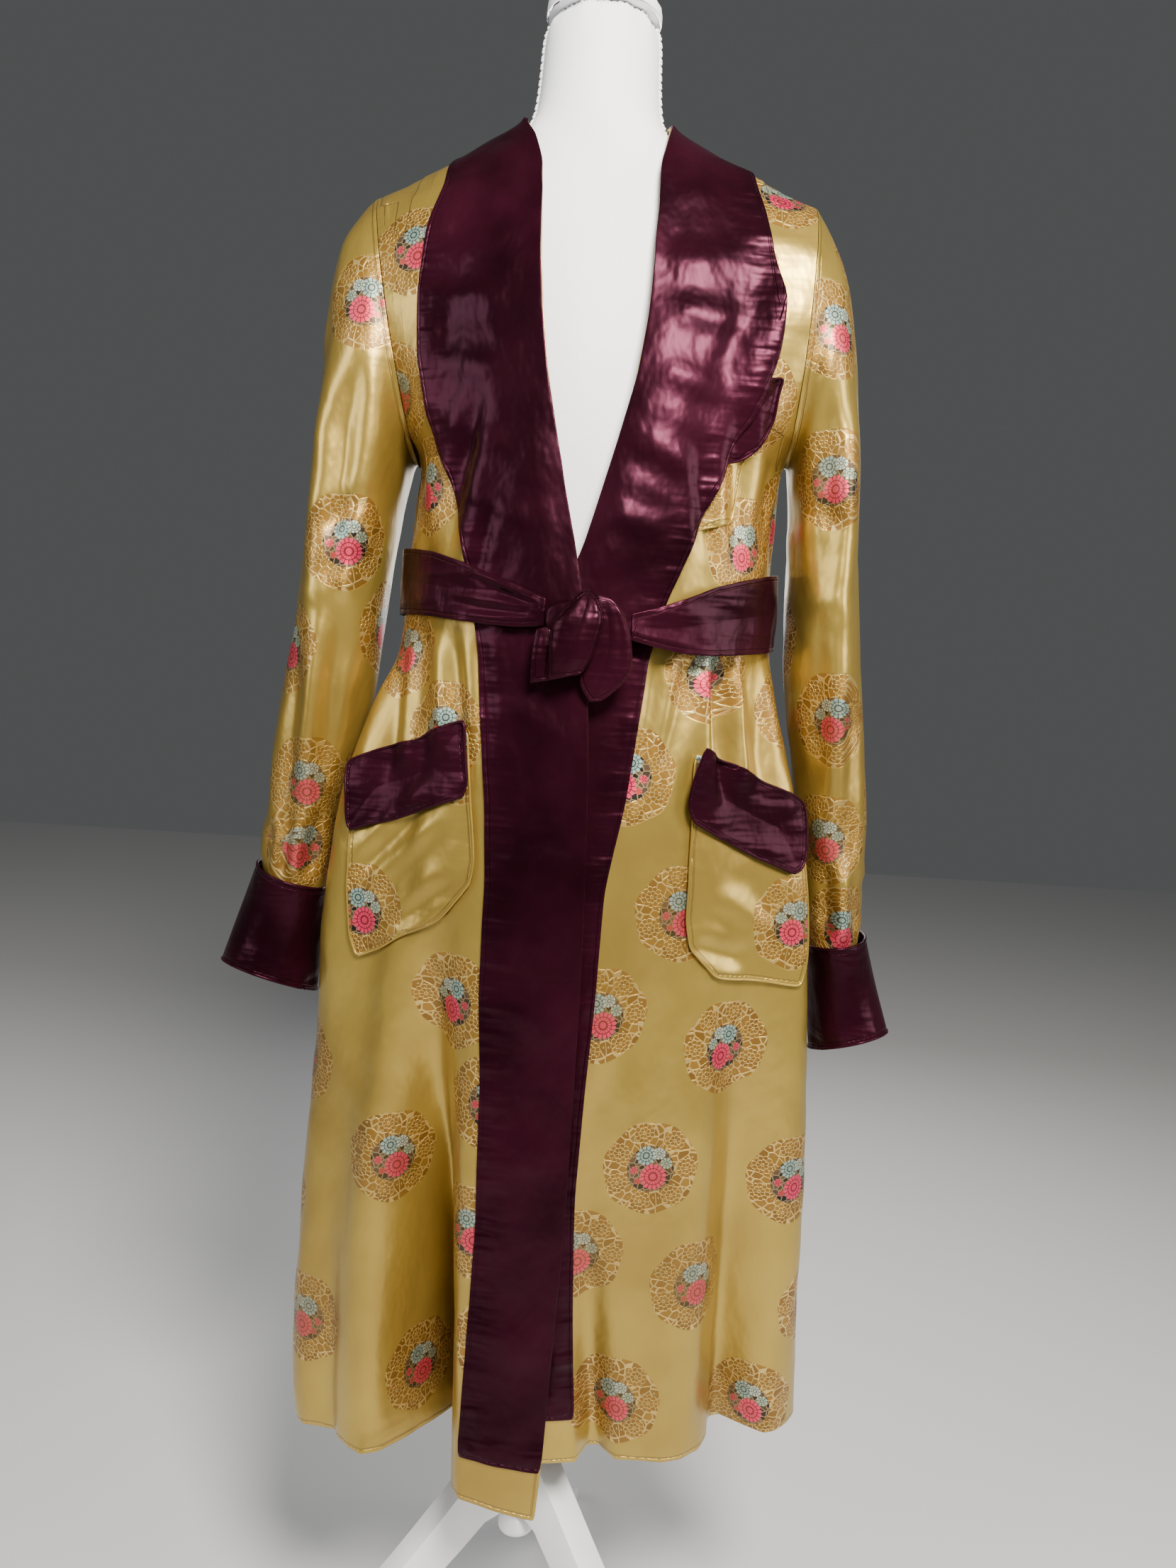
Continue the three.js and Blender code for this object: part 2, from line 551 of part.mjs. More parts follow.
const POCKETS = table('name look face grid reach left right lift flare corners',
  ['pocket_right', GOLD, rightFace, 8, 0.25, 0.05, 0.26, PATCH_LIFT, 0,
    [[-190, -84, 808], [-66, -136, 878], [-86, -136, 1032], [-203, -90, 994]]],
  ['pocket_top_right', BURGUNDY, rightFace, 6, 0.17, 0.02, 0.04, FLAP_LIFT + 0.4, 0,
    [[-198, -86, 929], [-79, -138, 975], [-89, -138, 1040], [-208, -90, 1001]]],
  ['pocket_left', GOLD, leftFace, 8, 0.25, 0.26, 0.05, PATCH_LIFT, 0,
    [[128, -122, 822], [247, -62, 806], [231, -60, 975], [131, -128, 1022]]],
  ['pocket_top_left', BURGUNDY, leftFace, 6, 0.4, 0.08, 0.12, FLAP_LIFT + 1.2, 9,
    [[118, -130, 966], [238, -70, 906], [232, -60, 981], [129, -128, 1029]]],
  ['breast_pocket', GOLD, leftFace, 8, 0.15, 0.04, 0.04, 0.8, 0,
    [[78, -128, 1206], [160, -114, 1226], [170, -104, 1343], [84, -122, 1325]]],
  ['breast_pocket_top', BURGUNDY, leftFace, 6, 0.34, 0.02, 0.09, 4.2, 0,
    [[76, -126, 1264], [180, -104, 1284], [182, -98, 1353], [80, -122, 1333]]]);

function patch({ corners, grid, reach, left, right }) {
  const [lowLeft, lowRight, highRight, highLeft] = corners.map((corner) => vec(...corner));
  return steps(grid).map((up) => steps(grid).map((across) => {
    const round = up < reach ? 1 - Math.sqrt(1 - (1 - up / reach) ** 2) : 0;
    const share = lerp(left * round, 1 - right * round, across);
    const low = lowLeft.clone().lerp(lowRight, share);
    const high = highLeft.clone().lerp(highRight, share);
    return low.lerp(high, up);
  }));
}

POCKETS.forEach((pocket) => {
  const last = pocket.grid;
  const sheet = patch(pocket).map((line, r) => line.map((p, c) => (
    drape(p, [pocket.face], pocket.lift + pocket.flare * (1 - c / last) ** 2 * (r / last)))));
  const out = normals(sheet, false, false);
  add(pocket.name, solidBetween(sheet, moved(sheet, out, CLOTH)), pocket.look);
});

// Belt: a strip round the waist, from one side of the knot round the back to its other side.
// Each row is a station: the part of the body it passes, how far along it, and its two edges.
const BELT_BODY = {
  frontRight: [vec(10, -144.5, 0), vec(-160.5, 6, 0)],
  frontLeft: [vec(10, -144.5, 0), vec(195.5, -7, 0)],
  backRight: [vec(7, 119.8, 0), vec(-160.5, 6, 0)],
  backLeft: [vec(7, 119.8, 0), vec(195.5, -7, 0)],
};

const BELT = table('part share low high',
  ['frontRight', 0.1, 1124, 1147], ['frontRight', 0.2, 1122, 1158], ['frontRight', 0.3, 1123, 1167],
  ['frontRight', 0.42, 1126, 1177], ['frontRight', 0.56, 1129, 1186], ['frontRight', 0.7, 1131, 1190],
  ['frontRight', 0.85, 1132, 1193], ['backRight', 1, 1132, 1193], ['backRight', 0.82, 1132, 1193],
  ['backRight', 0.64, 1131, 1192], ['backRight', 0.46, 1130, 1191], ['backRight', 0.28, 1129, 1191],
  ['backRight', 0.1, 1128, 1190], ['backLeft', 0.1, 1127, 1190], ['backLeft', 0.28, 1126, 1190],
  ['backLeft', 0.46, 1125, 1190], ['backLeft', 0.64, 1123, 1190], ['backLeft', 0.82, 1121, 1190],
  ['backLeft', 1, 1119, 1190], ['frontLeft', 0.86, 1117, 1188], ['frontLeft', 0.72, 1114, 1184],
  ['frontLeft', 0.58, 1111, 1177], ['frontLeft', 0.45, 1108, 1168], ['frontLeft', 0.34, 1108, 1156],
  ['frontLeft', 0.24, 1112, 1145], ['frontLeft', 0.16, 1117, 1138]);

const beltSheet = steps(4).map((up) => BELT.map((station) => {
  const [middle, side] = BELT_BODY[station.part];
  const point = rowPoint(middle, side, 1, station.share);
  const swell = 1 + 0.01 * Math.sin(up * Math.PI);
  return vec(point.x * swell, point.y * swell, lerp(station.low, station.high, up));
}));
const beltNormals = normals(beltSheet, false, true);
add('belt', solidBetween(beltSheet, moved(beltSheet, beltNormals, BELT_CLOTH)), BURGUNDY);

// Knot and ends: stations along each strip of folded satin, with its middle, half width and
// half thickness
const KNOT = table('x y z wide thick',
  [-16, -148.6, 1132, 10, 3], [-4, -150.1, 1131, 17, 5], [18, -151.6, 1128, 20, 6.5],
  [40, -150.1, 1128, 17, 5], [52, -148.6, 1128, 11, 3]);
const KNOT_LOOP = table('x y z wide thick',
  [27, -161.2, 1153, 6, 2], [20, -165.2, 1147, 18, 5], [11, -167.2, 1128, 26, 6],
  [4, -165.2, 1104, 25, 5], [0, -160.2, 1082, 20, 3.5], [-1, -156.2, 1068, 16, 2]);
const END_LEFT = table('x y z wide thick',
  [47, -159.2, 1148, 7, 2], [47, -161.2, 1134, 13, 3], [42, -158.2, 1110, 20, 2.5],
  [35, -154.7, 1088, 20, 2], [27, -152.2, 1064, 8, 1.5]);
const END_RIGHT = table('x y z wide thick',
  [-10, -146, 1116.4, 6, 2.5], [-17, -146, 1100, 9, 3], [-22, -146, 1083, 11, 2.5]);

function foldedStrip(name, rows) {
  const rings = rows.map((row, i) => {
    const behind = rows[Math.max(0, i - 1)];
    const ahead = rows[Math.min(rows.length - 1, i + 1)];
    const along = vec(ahead.x - behind.x, 0, ahead.z - behind.z).normalize();
    const across = vec(-along.z, 0, along.x);
    return steps(STRIP_SIDES).slice(1).map((t) => {
      const turn = t * Math.PI * 2;
      const flat = Math.sign(Math.cos(turn)) * Math.abs(Math.cos(turn)) ** 0.8;
      const deep = Math.sign(Math.sin(turn)) * Math.abs(Math.sin(turn)) ** 0.8;
      return vec(row.x, row.y, row.z).addScaledVector(across, row.wide * flat)
        .add(vec(0, row.thick * deep, 0));
    });
  });
  add(name, cappedRings(rings), BURGUNDY);
}

// A closed solid through rings of points, with a flat cap at each end
function cappedRings(rings) {
  const columns = rings[0].length;
  const points = rings.flat();
  const faces = [];
  for (let r = 0; r < rings.length - 1; r += 1) {
    for (let c = 0; c < columns; c += 1) {
      const [a, b] = [r * columns + c, r * columns + (c + 1) % columns];
      faces.push(a, b, b + columns, a, b + columns, a + columns);
    }
  }
  [[0, 1], [rings.length - 1, -1]].forEach(([r, turn]) => {
    const middle = rings[r].reduce((sum, p) => sum.add(p), vec(0, 0, 0)).divideScalar(columns);
    points.push(middle);
    for (let c = 0; c < columns; c += 1) {
      const pair = [r * columns + c, r * columns + (c + 1) % columns];
      if (turn > 0) pair.reverse();
      faces.push(points.length - 1, ...pair);
    }
  });
  return facingOut(points, faces);
}

foldedStrip('belt_knot', KNOT);
foldedStrip('belt_loop', KNOT_LOOP);
foldedStrip('belt_end_left', END_LEFT);
foldedStrip('belt_end_right', END_RIGHT);

// Dress form: torso and neck in one, cap, pole with a turned foot, and three bracketed legs
const formRings = FORM.map((row) => steps(FORM_SIDES).slice(1).map((t) => {
  const turn = t * Math.PI * 2;
  const y = Math.sin(turn);
  const point = vec(row.wide * Math.cos(turn), y * (y < 0 ? row.front : row.back), row.z);
  return point.applyAxisAngle(vec(0, 0, 1), rad(FORM_TURN));
}));
add('form_torso', cappedRings(formRings), FORM_WHITE);

function turned(name, profile, look, sides = 24) {
  const outline = profile.map(([radius, z]) => new THREE.Vector2(radius, z));
  const geometry = new THREE.LatheGeometry(outline, sides).rotateX(Math.PI / 2);
  add(name, geometry, look);
}

const NECK_TOP = FORM[FORM.length - 1].z;
turned('form_neck_cap', [[0, NECK_TOP + SEAM], [52, NECK_TOP + SEAM], [53.5, NECK_TOP + 1.5],
  [53.5, NECK_TOP + 11], [52, NECK_TOP + 12.5], [25, NECK_TOP + 12.5], [25, NECK_TOP + 17],
  [23, NECK_TOP + 19], [0, NECK_TOP + 19]], FORM_WHITE);
turned('form_pole', [[0, POLE_BOTTOM + SEAM], [POLE_RADIUS, POLE_BOTTOM + SEAM],
  [POLE_RADIUS, TORSO_BOTTOM - SEAM], [0, TORSO_BOTTOM - SEAM]], LEG_WHITE);
turned('form_pole_foot', [[0, POLE_BOTTOM - 18], [16.5, POLE_BOTTOM - 18], [18.7, POLE_BOTTOM - 14],
  [17.5, POLE_BOTTOM - 4], [POLE_RADIUS, POLE_BOTTOM], [0, POLE_BOTTOM]], LEG_WHITE);

// Leg outline, radius from the pole and height: top line going out, then the underside going back
const LEG_TOP = [[52, 276], [88, 232], [122, 192], [170, 138], [220, 84], [268, 44], [312, 27]];
const LEG_UNDER = [[286, 6], [246, 20], [200, 54], [150, 108], [104, 158], [66, 196], [38, 226]];
const LEG_ANGLES = { right: 200, left: 320, back: 80 };

function leg(name, degrees) {
  const inner = POLE_RADIUS + SEAM;
  const outline = new THREE.Shape();
  outline.moveTo(inner, 318);
  outline.splineThru([[26, 308], ...LEG_TOP].map(([r, z]) => new THREE.Vector2(r, z)));
  outline.quadraticCurveTo(330, 22, 330, 8);
  outline.lineTo(328, 0);
  outline.lineTo(296, 0);
  outline.splineThru(LEG_UNDER.map(([r, z]) => new THREE.Vector2(r, z)));
  outline.lineTo(inner, 236);
  const geometry = new THREE.ExtrudeGeometry(outline,
    { depth: LEG_THICKNESS, bevelEnabled: false, curveSegments: 2 });
  geometry.translate(0, 0, -LEG_THICKNESS / 2).rotateX(Math.PI / 2).rotateZ(rad(degrees));
  add(name, geometry, LEG_WHITE);
}

Object.entries(LEG_ANGLES).forEach(([side, degrees]) => leg(`leg_${side}`, degrees));

// The origin is the middle of the whole object's footprint, on the floor
jacket.updateMatrixWorld(true);
const whole = new THREE.Box3().setFromObject(jacket);
const middle = whole.getCenter(vec(0, 0, 0));
jacket.position.set(-middle.x, -middle.y, -whole.min.z);

export default jacket;
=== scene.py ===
# %% [markdown]
# # Satin smoking jacket on a dress form
# The real jacket is woven gold satin with silk roundels, faced in plain burgundy satin and tied
# with a sash. The packed solids give every place and size, so the scene starts from them as a
# fixed frame. Each solid gets a finished piece here: soft rims, creases, weave, sewn edges and
# trim.

# %%
import math
import bmesh
import bpy
import numpy as np
from mathutils import Matrix, Vector, noise
from mathutils.bvhtree import BVHTree
from mathutils.kdtree import KDTree


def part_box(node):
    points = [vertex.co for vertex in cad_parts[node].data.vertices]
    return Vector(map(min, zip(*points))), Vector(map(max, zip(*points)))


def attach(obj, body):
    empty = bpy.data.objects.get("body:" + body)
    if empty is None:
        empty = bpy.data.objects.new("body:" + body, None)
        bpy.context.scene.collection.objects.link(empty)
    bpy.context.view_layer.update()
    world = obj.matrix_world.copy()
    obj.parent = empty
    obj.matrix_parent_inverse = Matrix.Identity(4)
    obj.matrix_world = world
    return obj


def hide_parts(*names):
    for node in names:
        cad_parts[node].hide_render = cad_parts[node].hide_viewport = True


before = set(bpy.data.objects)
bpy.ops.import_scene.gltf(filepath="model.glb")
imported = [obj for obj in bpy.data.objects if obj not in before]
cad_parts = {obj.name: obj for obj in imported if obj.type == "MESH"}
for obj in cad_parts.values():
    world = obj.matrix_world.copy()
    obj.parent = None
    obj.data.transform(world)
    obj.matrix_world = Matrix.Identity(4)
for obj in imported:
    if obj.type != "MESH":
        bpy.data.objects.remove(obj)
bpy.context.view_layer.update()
print("solids loaded:", len(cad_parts))

# %% [markdown]
# ## Places
# Everything is measured in millimetres about the stand's pole, with the floor at zero, because
# the pole is the one straight thing that all the cloth hangs round. Blender itself works in
# metres.

# %%
pole_low, pole_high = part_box("form_pole")
AXIS = Vector(((pole_low[0] + pole_high[0]) / 2, (pole_low[1] + pole_high[1]) / 2, 0))


def at(x, y, z):
    return AXIS + Vector((x, y, z)) / 1000


def table(columns, *rows):
    names = columns.split()
    return [dict(zip(names, row)) for row in rows]


def smooth(low, high, value):
    share = np.clip((value - low) / (high - low), 0, 1)
    return share * share * (3 - 2 * share)


def add_object(name, data):
    made = bpy.data.objects.new(name, data)
    bpy.context.scene.collection.objects.link(made)
    return made


print("pole stands at", [round(v, 4) for v in AXIS])

# %% [markdown]
# ## Camera and lights
# The picture was taken from close in front, a little above the belt, with the camera tipped a few
# degrees. A wide lens set at the same place gives the same foreshortening of hem and shoulders.
# Satin shows its folds by what it reflects, so one strong soft lamp hangs high in front and the
# rest stays low: even light from all sides would turn the burgundy milky.

# %%
CAMERA = {"place": (28, -1150, 1080), "tip": 85, "roll": 3.5, "lens": 27.04, "sensor": 36}
camera_data = bpy.data.cameras.new("camera")
camera_data.lens = CAMERA["lens"]
camera_data.sensor_width = CAMERA["sensor"]
camera_data.clip_start = 0.05
camera = add_object("camera", camera_data)
camera.matrix_world = (Matrix.Translation(at(*CAMERA["place"]))
                       @ Matrix.Rotation(math.radians(CAMERA["tip"]), 4, "X")
                       @ Matrix.Rotation(math.radians(CAMERA["roll"]), 4, "Z"))
bpy.context.scene.camera = camera

LIGHTS = table(
    "name x y z aim_x aim_z size power tint",
    ("ceiling", 380, -1450, 2200, 0, 1250, 0.6, 110, (1.0, 0.96, 0.88)),
    ("window", -1700, -1100, 1700, -60, 1050, 1.2, 20, (0.96, 0.98, 1.0)),
    ("side", 1800, -700, 1600, 0, 1050, 1.2, 26, (1.0, 0.98, 0.93)),
    ("behind", 200, 1900, 1700, 0, 900, 1.4, 14, (1.0, 1.0, 1.0)))
for light in LIGHTS:
    data = bpy.data.lights.new(light["name"], "AREA")
    data.energy = light["power"]
    data.shape = "DISK"
    data.size = light["size"]
    data.color = light["tint"]
    lamp = add_object(light["name"], data)
    lamp.location = at(light["x"], light["y"], light["z"])
    aim = at(light["aim_x"], 0, light["aim_z"]) - lamp.location
    lamp.rotation_euler = aim.to_track_quat("-Z", "Y").to_euler()

world = bpy.data.worlds.new("studio")
world.use_nodes = True
background = world.node_tree.nodes["Background"]
background.inputs["Color"].default_value = (0.84, 0.87, 0.88, 1)
background.inputs["Strength"].default_value = 0.1
bpy.context.scene.world = world
print("lamps:", ", ".join(light["name"] for light in LIGHTS))

# %% [markdown]
# ## Shader helpers
# A cloth's finish is worked out by many small nodes. Each helper adds the nodes for one step and
# gives back the socket to read, so that the finishes below read like sums.

# %%
class Shader:
    def __init__(self, tree):
        self.tree = tree

    def node(self, kind, **settings):
        made = self.tree.nodes.new(kind)
        for name, value in settings.items():
            setattr(made, name, value)
        return made

    def feed(self, socket, value):
        if isinstance(value, bpy.types.NodeSocket):
            self.tree.links.new(value, socket)
        else:
            socket.default_value = value

    def maths(self, operation, *values):
        made = self.node("ShaderNodeMath", operation=operation)
        for socket, value in zip(made.inputs, values):
            self.feed(socket, value)
        return made.outputs[0]

    def ramp(self, value, low, high):
        made = self.node("ShaderNodeMapRange", interpolation_type="SMOOTHSTEP")
        for socket, given in zip(made.inputs, (value, low, high, 0.0, 1.0)):
            self.feed(socket, given)
        return made.outputs[0]

    def mix(self, share, below, above):
        made = self.node("ShaderNodeMix", data_type="RGBA")
        self.feed(made.inputs[0], share)
        self.feed(made.inputs[6], below)
        self.feed(made.inputs[7], above)
        return made.outputs[2]

    def combine(self, x, y, z=0.0):
        made = self.node("ShaderNodeCombineXYZ")
        for socket, value in zip(made.inputs, (x, y, z)):
            self.feed(socket, value)
        return made.outputs[0]

    def noise(self, vector, scale, detail=2.0):
        made = self.node("ShaderNodeTexNoise")
        self.feed(made.inputs["Vector"], vector)
        made.inputs["Scale"].default_value = scale
        made.inputs["Detail"].default_value = detail
        return made.outputs["Fac"]

    def stretched(self, vector, scale, turn=(0.0, 0.0, 0.0)):
        made = self.node("ShaderNodeMapping")
        self.feed(made.inputs["Vector"], vector)
        made.inputs["Rotation"].default_value = turn
        made.inputs["Scale"].default_value = scale
        return made.outputs[0]


def new_group(name, inputs, outputs):
    group = bpy.data.node_groups.new(name, "ShaderNodeTree")
    for label, given in inputs:
        socket = group.interface.new_socket(label, in_out="INPUT", socket_type="NodeSocketFloat")
        socket.default_value = given
    for label, kind in outputs:
        group.interface.new_socket(label, in_out="OUTPUT", socket_type=kind)
    start = group.nodes.new("NodeGroupInput")
    return group, Shader(group), start, group.nodes.new("NodeGroupOutput")


print("shader steps:", [name for name in vars(Shader) if not name.startswith("_")])

# %% [markdown]
# ## Woven roundel
# The brocade carries round medallions about 90 mm across: a ring of bronze leaves and rosettes
# with pale outlines round a dark disc with a red chrysanthemum, pale fan leaves and buds. A
# picture of it would be one size for ever, so it is worked out from round coordinates instead,
# with the roundel's rim at 1. Cells on a cylinder, by angle and radius, grow into leaves that
# point outwards.

# %%
GOLD = (0.46, 0.315, 0.060, 1)
roundel_group, s, _, out = new_group("roundel", [], [("Color", "NodeSocketColor"),
                                                     ("Thread", "NodeSocketFloat")])
local = s.node("ShaderNodeUVMap", uv_map="roundel").outputs[0]
split = s.node("ShaderNodeSeparateXYZ")
s.feed(split.inputs[0], local)
u, v = split.outputs[0], split.outputs[1]


def polar(x, y):
    squares = s.maths("ADD", s.maths("MULTIPLY", x, x), s.maths("MULTIPLY", y, y))
    return s.maths("SQRT", squares), s.maths("ARCTAN2", y, x)


def cells(vector, scale, feature, dimensions="2D"):
    made = s.node("ShaderNodeTexVoronoi", voronoi_dimensions=dimensions, feature=feature)
    s.feed(made.inputs["Vector"], vector)
    made.inputs["Scale"].default_value = scale
    return made


def line(value, place, half):
    return s.ramp(s.maths("ABSOLUTE", s.maths("SUBTRACT", value, place)), half, half * 0.4)


def highest(*values):
    top = values[0]
    for value in values[1:]:
        top = s.maths("MAXIMUM", top, value)
    return top


radius, turn = polar(u, v)
wave = s.maths("MULTIPLY", s.maths("SINE", s.maths("MULTIPLY", turn, 7.0)), 0.022)
disc = s.ramp(s.maths("SUBTRACT", radius, wave), 0.995, 0.965)
around = s.combine(s.maths("MULTIPLY", s.maths("COSINE", turn), 5.0),
                   s.maths("MULTIPLY", s.maths("SINE", turn), 5.0),
                   s.maths("MULTIPLY", radius, 4.6))
leaf_edge = s.ramp(cells(around, 1.0, "DISTANCE_TO_EDGE", "3D").outputs["Distance"], 0.085, 0.04)
leaf_cell = cells(around, 1.0, "F1", "3D")
leaf_heart = s.ramp(leaf_cell.outputs["Distance"], 0.16, 0.08)
bronze = s.mix(leaf_cell.outputs["Color"], (0.19, 0.085, 0.010, 1), (0.36, 0.185, 0.026, 1))
PALE = (0.66, 0.46, 0.15, 1)
print("leaf ring nodes:", len(roundel_group.nodes))

# %%
sector = s.maths("WRAP", turn, -math.pi / 7, math.pi / 7)
ring_x = s.maths("SUBTRACT", s.maths("MULTIPLY", radius, s.maths("COSINE", sector)), 0.75)
ring_y = s.maths("MULTIPLY", radius, s.maths("SINE", sector))
reach, angle = polar(ring_x, ring_y)
outer_fold = s.maths("ABSOLUTE", s.maths("SINE", s.maths("MULTIPLY", angle, 5.5)))
inner_fold = s.maths("ABSOLUTE", s.maths("SINE", s.maths("MULTIPLY", angle, 3.5)))
outer_edge = s.maths("SUBTRACT", reach, s.maths("MULTIPLY", outer_fold, 0.03))
inner_edge = s.maths("SUBTRACT", reach, s.maths("MULTIPLY", inner_fold, 0.025))
in_rosette = s.ramp(outer_edge, 0.196, 0.186)
within = s.ramp(inner_edge, 0.105, 0.095)
petals = s.mix(within, s.ramp(outer_fold, 0.26, 0.08), s.ramp(inner_fold, 0.30, 0.10))
petals = s.maths("MULTIPLY", petals, s.ramp(reach, 0.03, 0.04))
rosette_lines = highest(petals, line(reach, 0.028, 0.012), line(inner_edge, 0.10, 0.012),
                        line(outer_edge, 0.187, 0.014))
ring_lines = s.mix(in_rosette, highest(leaf_edge, leaf_heart), rosette_lines)
ring = s.mix(ring_lines, bronze, PALE)
print("nodes with rosettes:", len(roundel_group.nodes))

# %%
inner_y = s.maths("ADD", v, 0.03)
inner_radius, _ = polar(u, inner_y)
inner = s.ramp(inner_radius, 0.5, 0.485)
foliage = cells(local, 9.0, "F1")
leaf_lines = s.ramp(cells(local, 9.0, "DISTANCE_TO_EDGE").outputs["Distance"], 0.12, 0.06)
leaf_tone = s.ramp(foliage.outputs["Color"], 0.35, 0.62)
leaves = s.mix(leaf_tone, (0.010, 0.008, 0.008, 1), (0.12, 0.075, 0.038, 1))
ground = s.mix(leaf_lines, leaves, (0.30, 0.21, 0.11, 1))


def flower(below, x, y, size, count, dark, light):
    """A round head of petals, dark between them and round its eye."""
    away_x = s.maths("SUBTRACT", u, x)
    away_y = s.maths("SUBTRACT", v, y)
    far, spin = polar(away_x, away_y)
    far = s.maths("DIVIDE", far, size)
    fold = s.maths("ABSOLUTE", s.maths("SINE", s.maths("MULTIPLY", spin, count / 2)))
    edge = s.maths("ADD", 0.86, s.maths("MULTIPLY", fold, 0.14))
    head = s.ramp(s.maths("SUBTRACT", far, edge), 0.02, -0.02)
    gaps = s.ramp(fold, 0.45, 0.18)
    tone = s.mix(highest(gaps, line(far, 0.30, 0.09), line(far, 0.62, 0.05)), light, dark)
    return s.mix(head, below, tone)


FLOWERS = table(
    "x y size petals dark light",
    (-0.10, 0.25, 0.21, 12, (0.020, 0.045, 0.045, 1), (0.33, 0.46, 0.40, 1)),
    (0.17, 0.30, 0.13, 9, (0.03, 0.05, 0.045, 1), (0.55, 0.62, 0.50, 1)),
    (0.33, 0.10, 0.12, 8, (0.03, 0.045, 0.04, 1), (0.42, 0.50, 0.36, 1)),
    (0.07, -0.20, 0.28, 16, (0.22, 0.006, 0.020, 1), (0.80, 0.045, 0.13, 1)),
    (-0.34, -0.05, 0.085, 5, (0.20, 0.01, 0.02, 1), (0.72, 0.07, 0.11, 1)),
    (-0.25, -0.29, 0.07, 5, (0.22, 0.02, 0.02, 1), (0.60, 0.07, 0.07, 1)))
flowers = ground
for head in FLOWERS:
    flowers = flower(flowers, head["x"], head["y"], head["size"], head["petals"],
                     head["dark"], head["light"])
s.feed(out.inputs["Color"], s.mix(disc, GOLD, s.mix(inner, ring, flowers)))
thread = s.maths("MAXIMUM", inner, s.maths("SUBTRACT", 1.0, ring_lines))
s.feed(out.inputs["Thread"], s.maths("MULTIPLY", disc, thread))
print("roundel nodes:", len(roundel_group.nodes))

# %% [markdown]
# ## Cloth surface
# Satin puckers where it is sewn: short creases run off the seam and fade within a few
# centimetres. The distance to the sewn edge is kept on each piece as an attribute, so one group
# serves both cloths, and each sets how strong its puckers are, and how strong the soft crumples
# that it keeps from being folded and worn. The group also gives the weave, and the groove that a
# row of stitches presses in a few millimetres from the edge.

# %%
PUCKER_REACH = 0.042
STITCH_PLACE = 0.0045
surface_group, s, start, out = new_group("cloth surface", [("Pucker", 0.004), ("Crumple", 0.001)],
                                         [("Height", "NodeSocketFloat"),
                                          ("Stitch", "NodeSocketFloat")])
place = s.node("ShaderNodeTexCoord").outputs["Object"]
edge = s.node("ShaderNodeAttribute", attribute_name="edge").outputs["Fac"]
near = s.ramp(edge, PUCKER_REACH, 0.002)
across = s.noise(s.stretched(place, (10.0, 10.0, 58.0), (0.0, 0.38, 0.0)), 1.0, 2.0)
along = s.noise(s.stretched(place, (24.0, 24.0, 24.0)), 1.0, 2.0)
puckers = s.maths("ADD", s.maths("MULTIPLY", across, 0.8), s.maths("MULTIPLY", along, 0.4))
crumple = s.noise(s.stretched(place, (26.0, 26.0, 17.0), (0.0, 0.5, 0.0)), 1.0, 3.0)
weave = s.noise(place, 1400.0, 1.0)
stitch = s.ramp(s.maths("ABSOLUTE", s.maths("SUBTRACT", edge, STITCH_PLACE)), 0.0011, 0.0004)
height = s.maths("MULTIPLY", s.maths("MULTIPLY", puckers, near), start.outputs["Pucker"])
height = s.maths("ADD", height, s.maths("MULTIPLY", crumple, start.outputs["Crumple"]))
height = s.maths("ADD", height, s.maths("MULTIPLY", weave, 0.00005))
s.feed(out.inputs["Height"], s.maths("SUBTRACT", height, s.maths("MULTIPLY", stitch, 0.0006)))
s.feed(out.inputs["Stitch"], stitch)


def new_material(name):
    material = bpy.data.materials.new(name)
    material.use_nodes = True
    shader = material.node_tree.nodes["Principled BSDF"]
    return material, Shader(material.node_tree), shader


def cloth_bump(s, shader, height):
    bump = s.node("ShaderNodeBump")
    bump.inputs["Strength"].default_value = 1.0
    bump.inputs["Distance"].default_value = 1.0
    s.feed(bump.inputs["Height"], height)
    s.feed(shader.inputs["Normal"], bump.outputs[0])


def cloth_surface(s, pucker, crumple):
    made = s.node("ShaderNodeGroup", node_tree=surface_group)
    made.inputs["Pucker"].default_value = pucker
    made.inputs["Crumple"].default_value = crumple
    return made


print("cloth surface nodes:", len(surface_group.nodes))

# %% [markdown]
# ## Gold brocade
# The ground weave is a gold satin: it shines broadly, goes nearly white along a ridge and deep
# ochre in a hollow. That contrast comes from a mostly metallic base under a thin soft coat. The
# roundels are woven in duller threads, so they are a little rougher.

# %%
gold, s, shader = new_material("gold brocade satin")
motif = s.node("ShaderNodeGroup", node_tree=roundel_group)
surface = cloth_surface(s, 0.0012, 0.0026)
place = s.node("ShaderNodeTexCoord").outputs["Object"]
fading = s.noise(place, 6.0, 3.0)
faded = s.maths("MULTIPLY", s.ramp(fading, 0.35, 0.7), 0.45)
toned = s.mix(faded, motif.outputs["Color"], (0.22, 0.125, 0.018, 1))
# Painted shade: along the pressed stitch groove the gold is mixed halfway to a deep ochre.
stitch_groove_shade = s.maths("MULTIPLY", surface.outputs["Stitch"], 0.5)
s.feed(shader.inputs["Base Color"], s.mix(stitch_groove_shade, toned, (0.22, 0.13, 0.03, 1)))
worn = s.maths("ADD", 0.30, s.maths("MULTIPLY", fading, 0.10))
duller = s.maths("MULTIPLY", motif.outputs["Thread"], 0.12)
s.feed(shader.inputs["Roughness"], s.maths("ADD", worn, duller))
shader.inputs["Metallic"].default_value = 0.74
shader.inputs["Coat Weight"].default_value = 0.3
shader.inputs["Coat Roughness"].default_value = 0.32
sunk = s.maths("MULTIPLY", motif.outputs["Thread"], -0.0002)
cloth_bump(s, shader, s.maths("ADD", surface.outputs["Height"], sunk))
print("gold brocade nodes:", len(gold.node_tree.nodes))

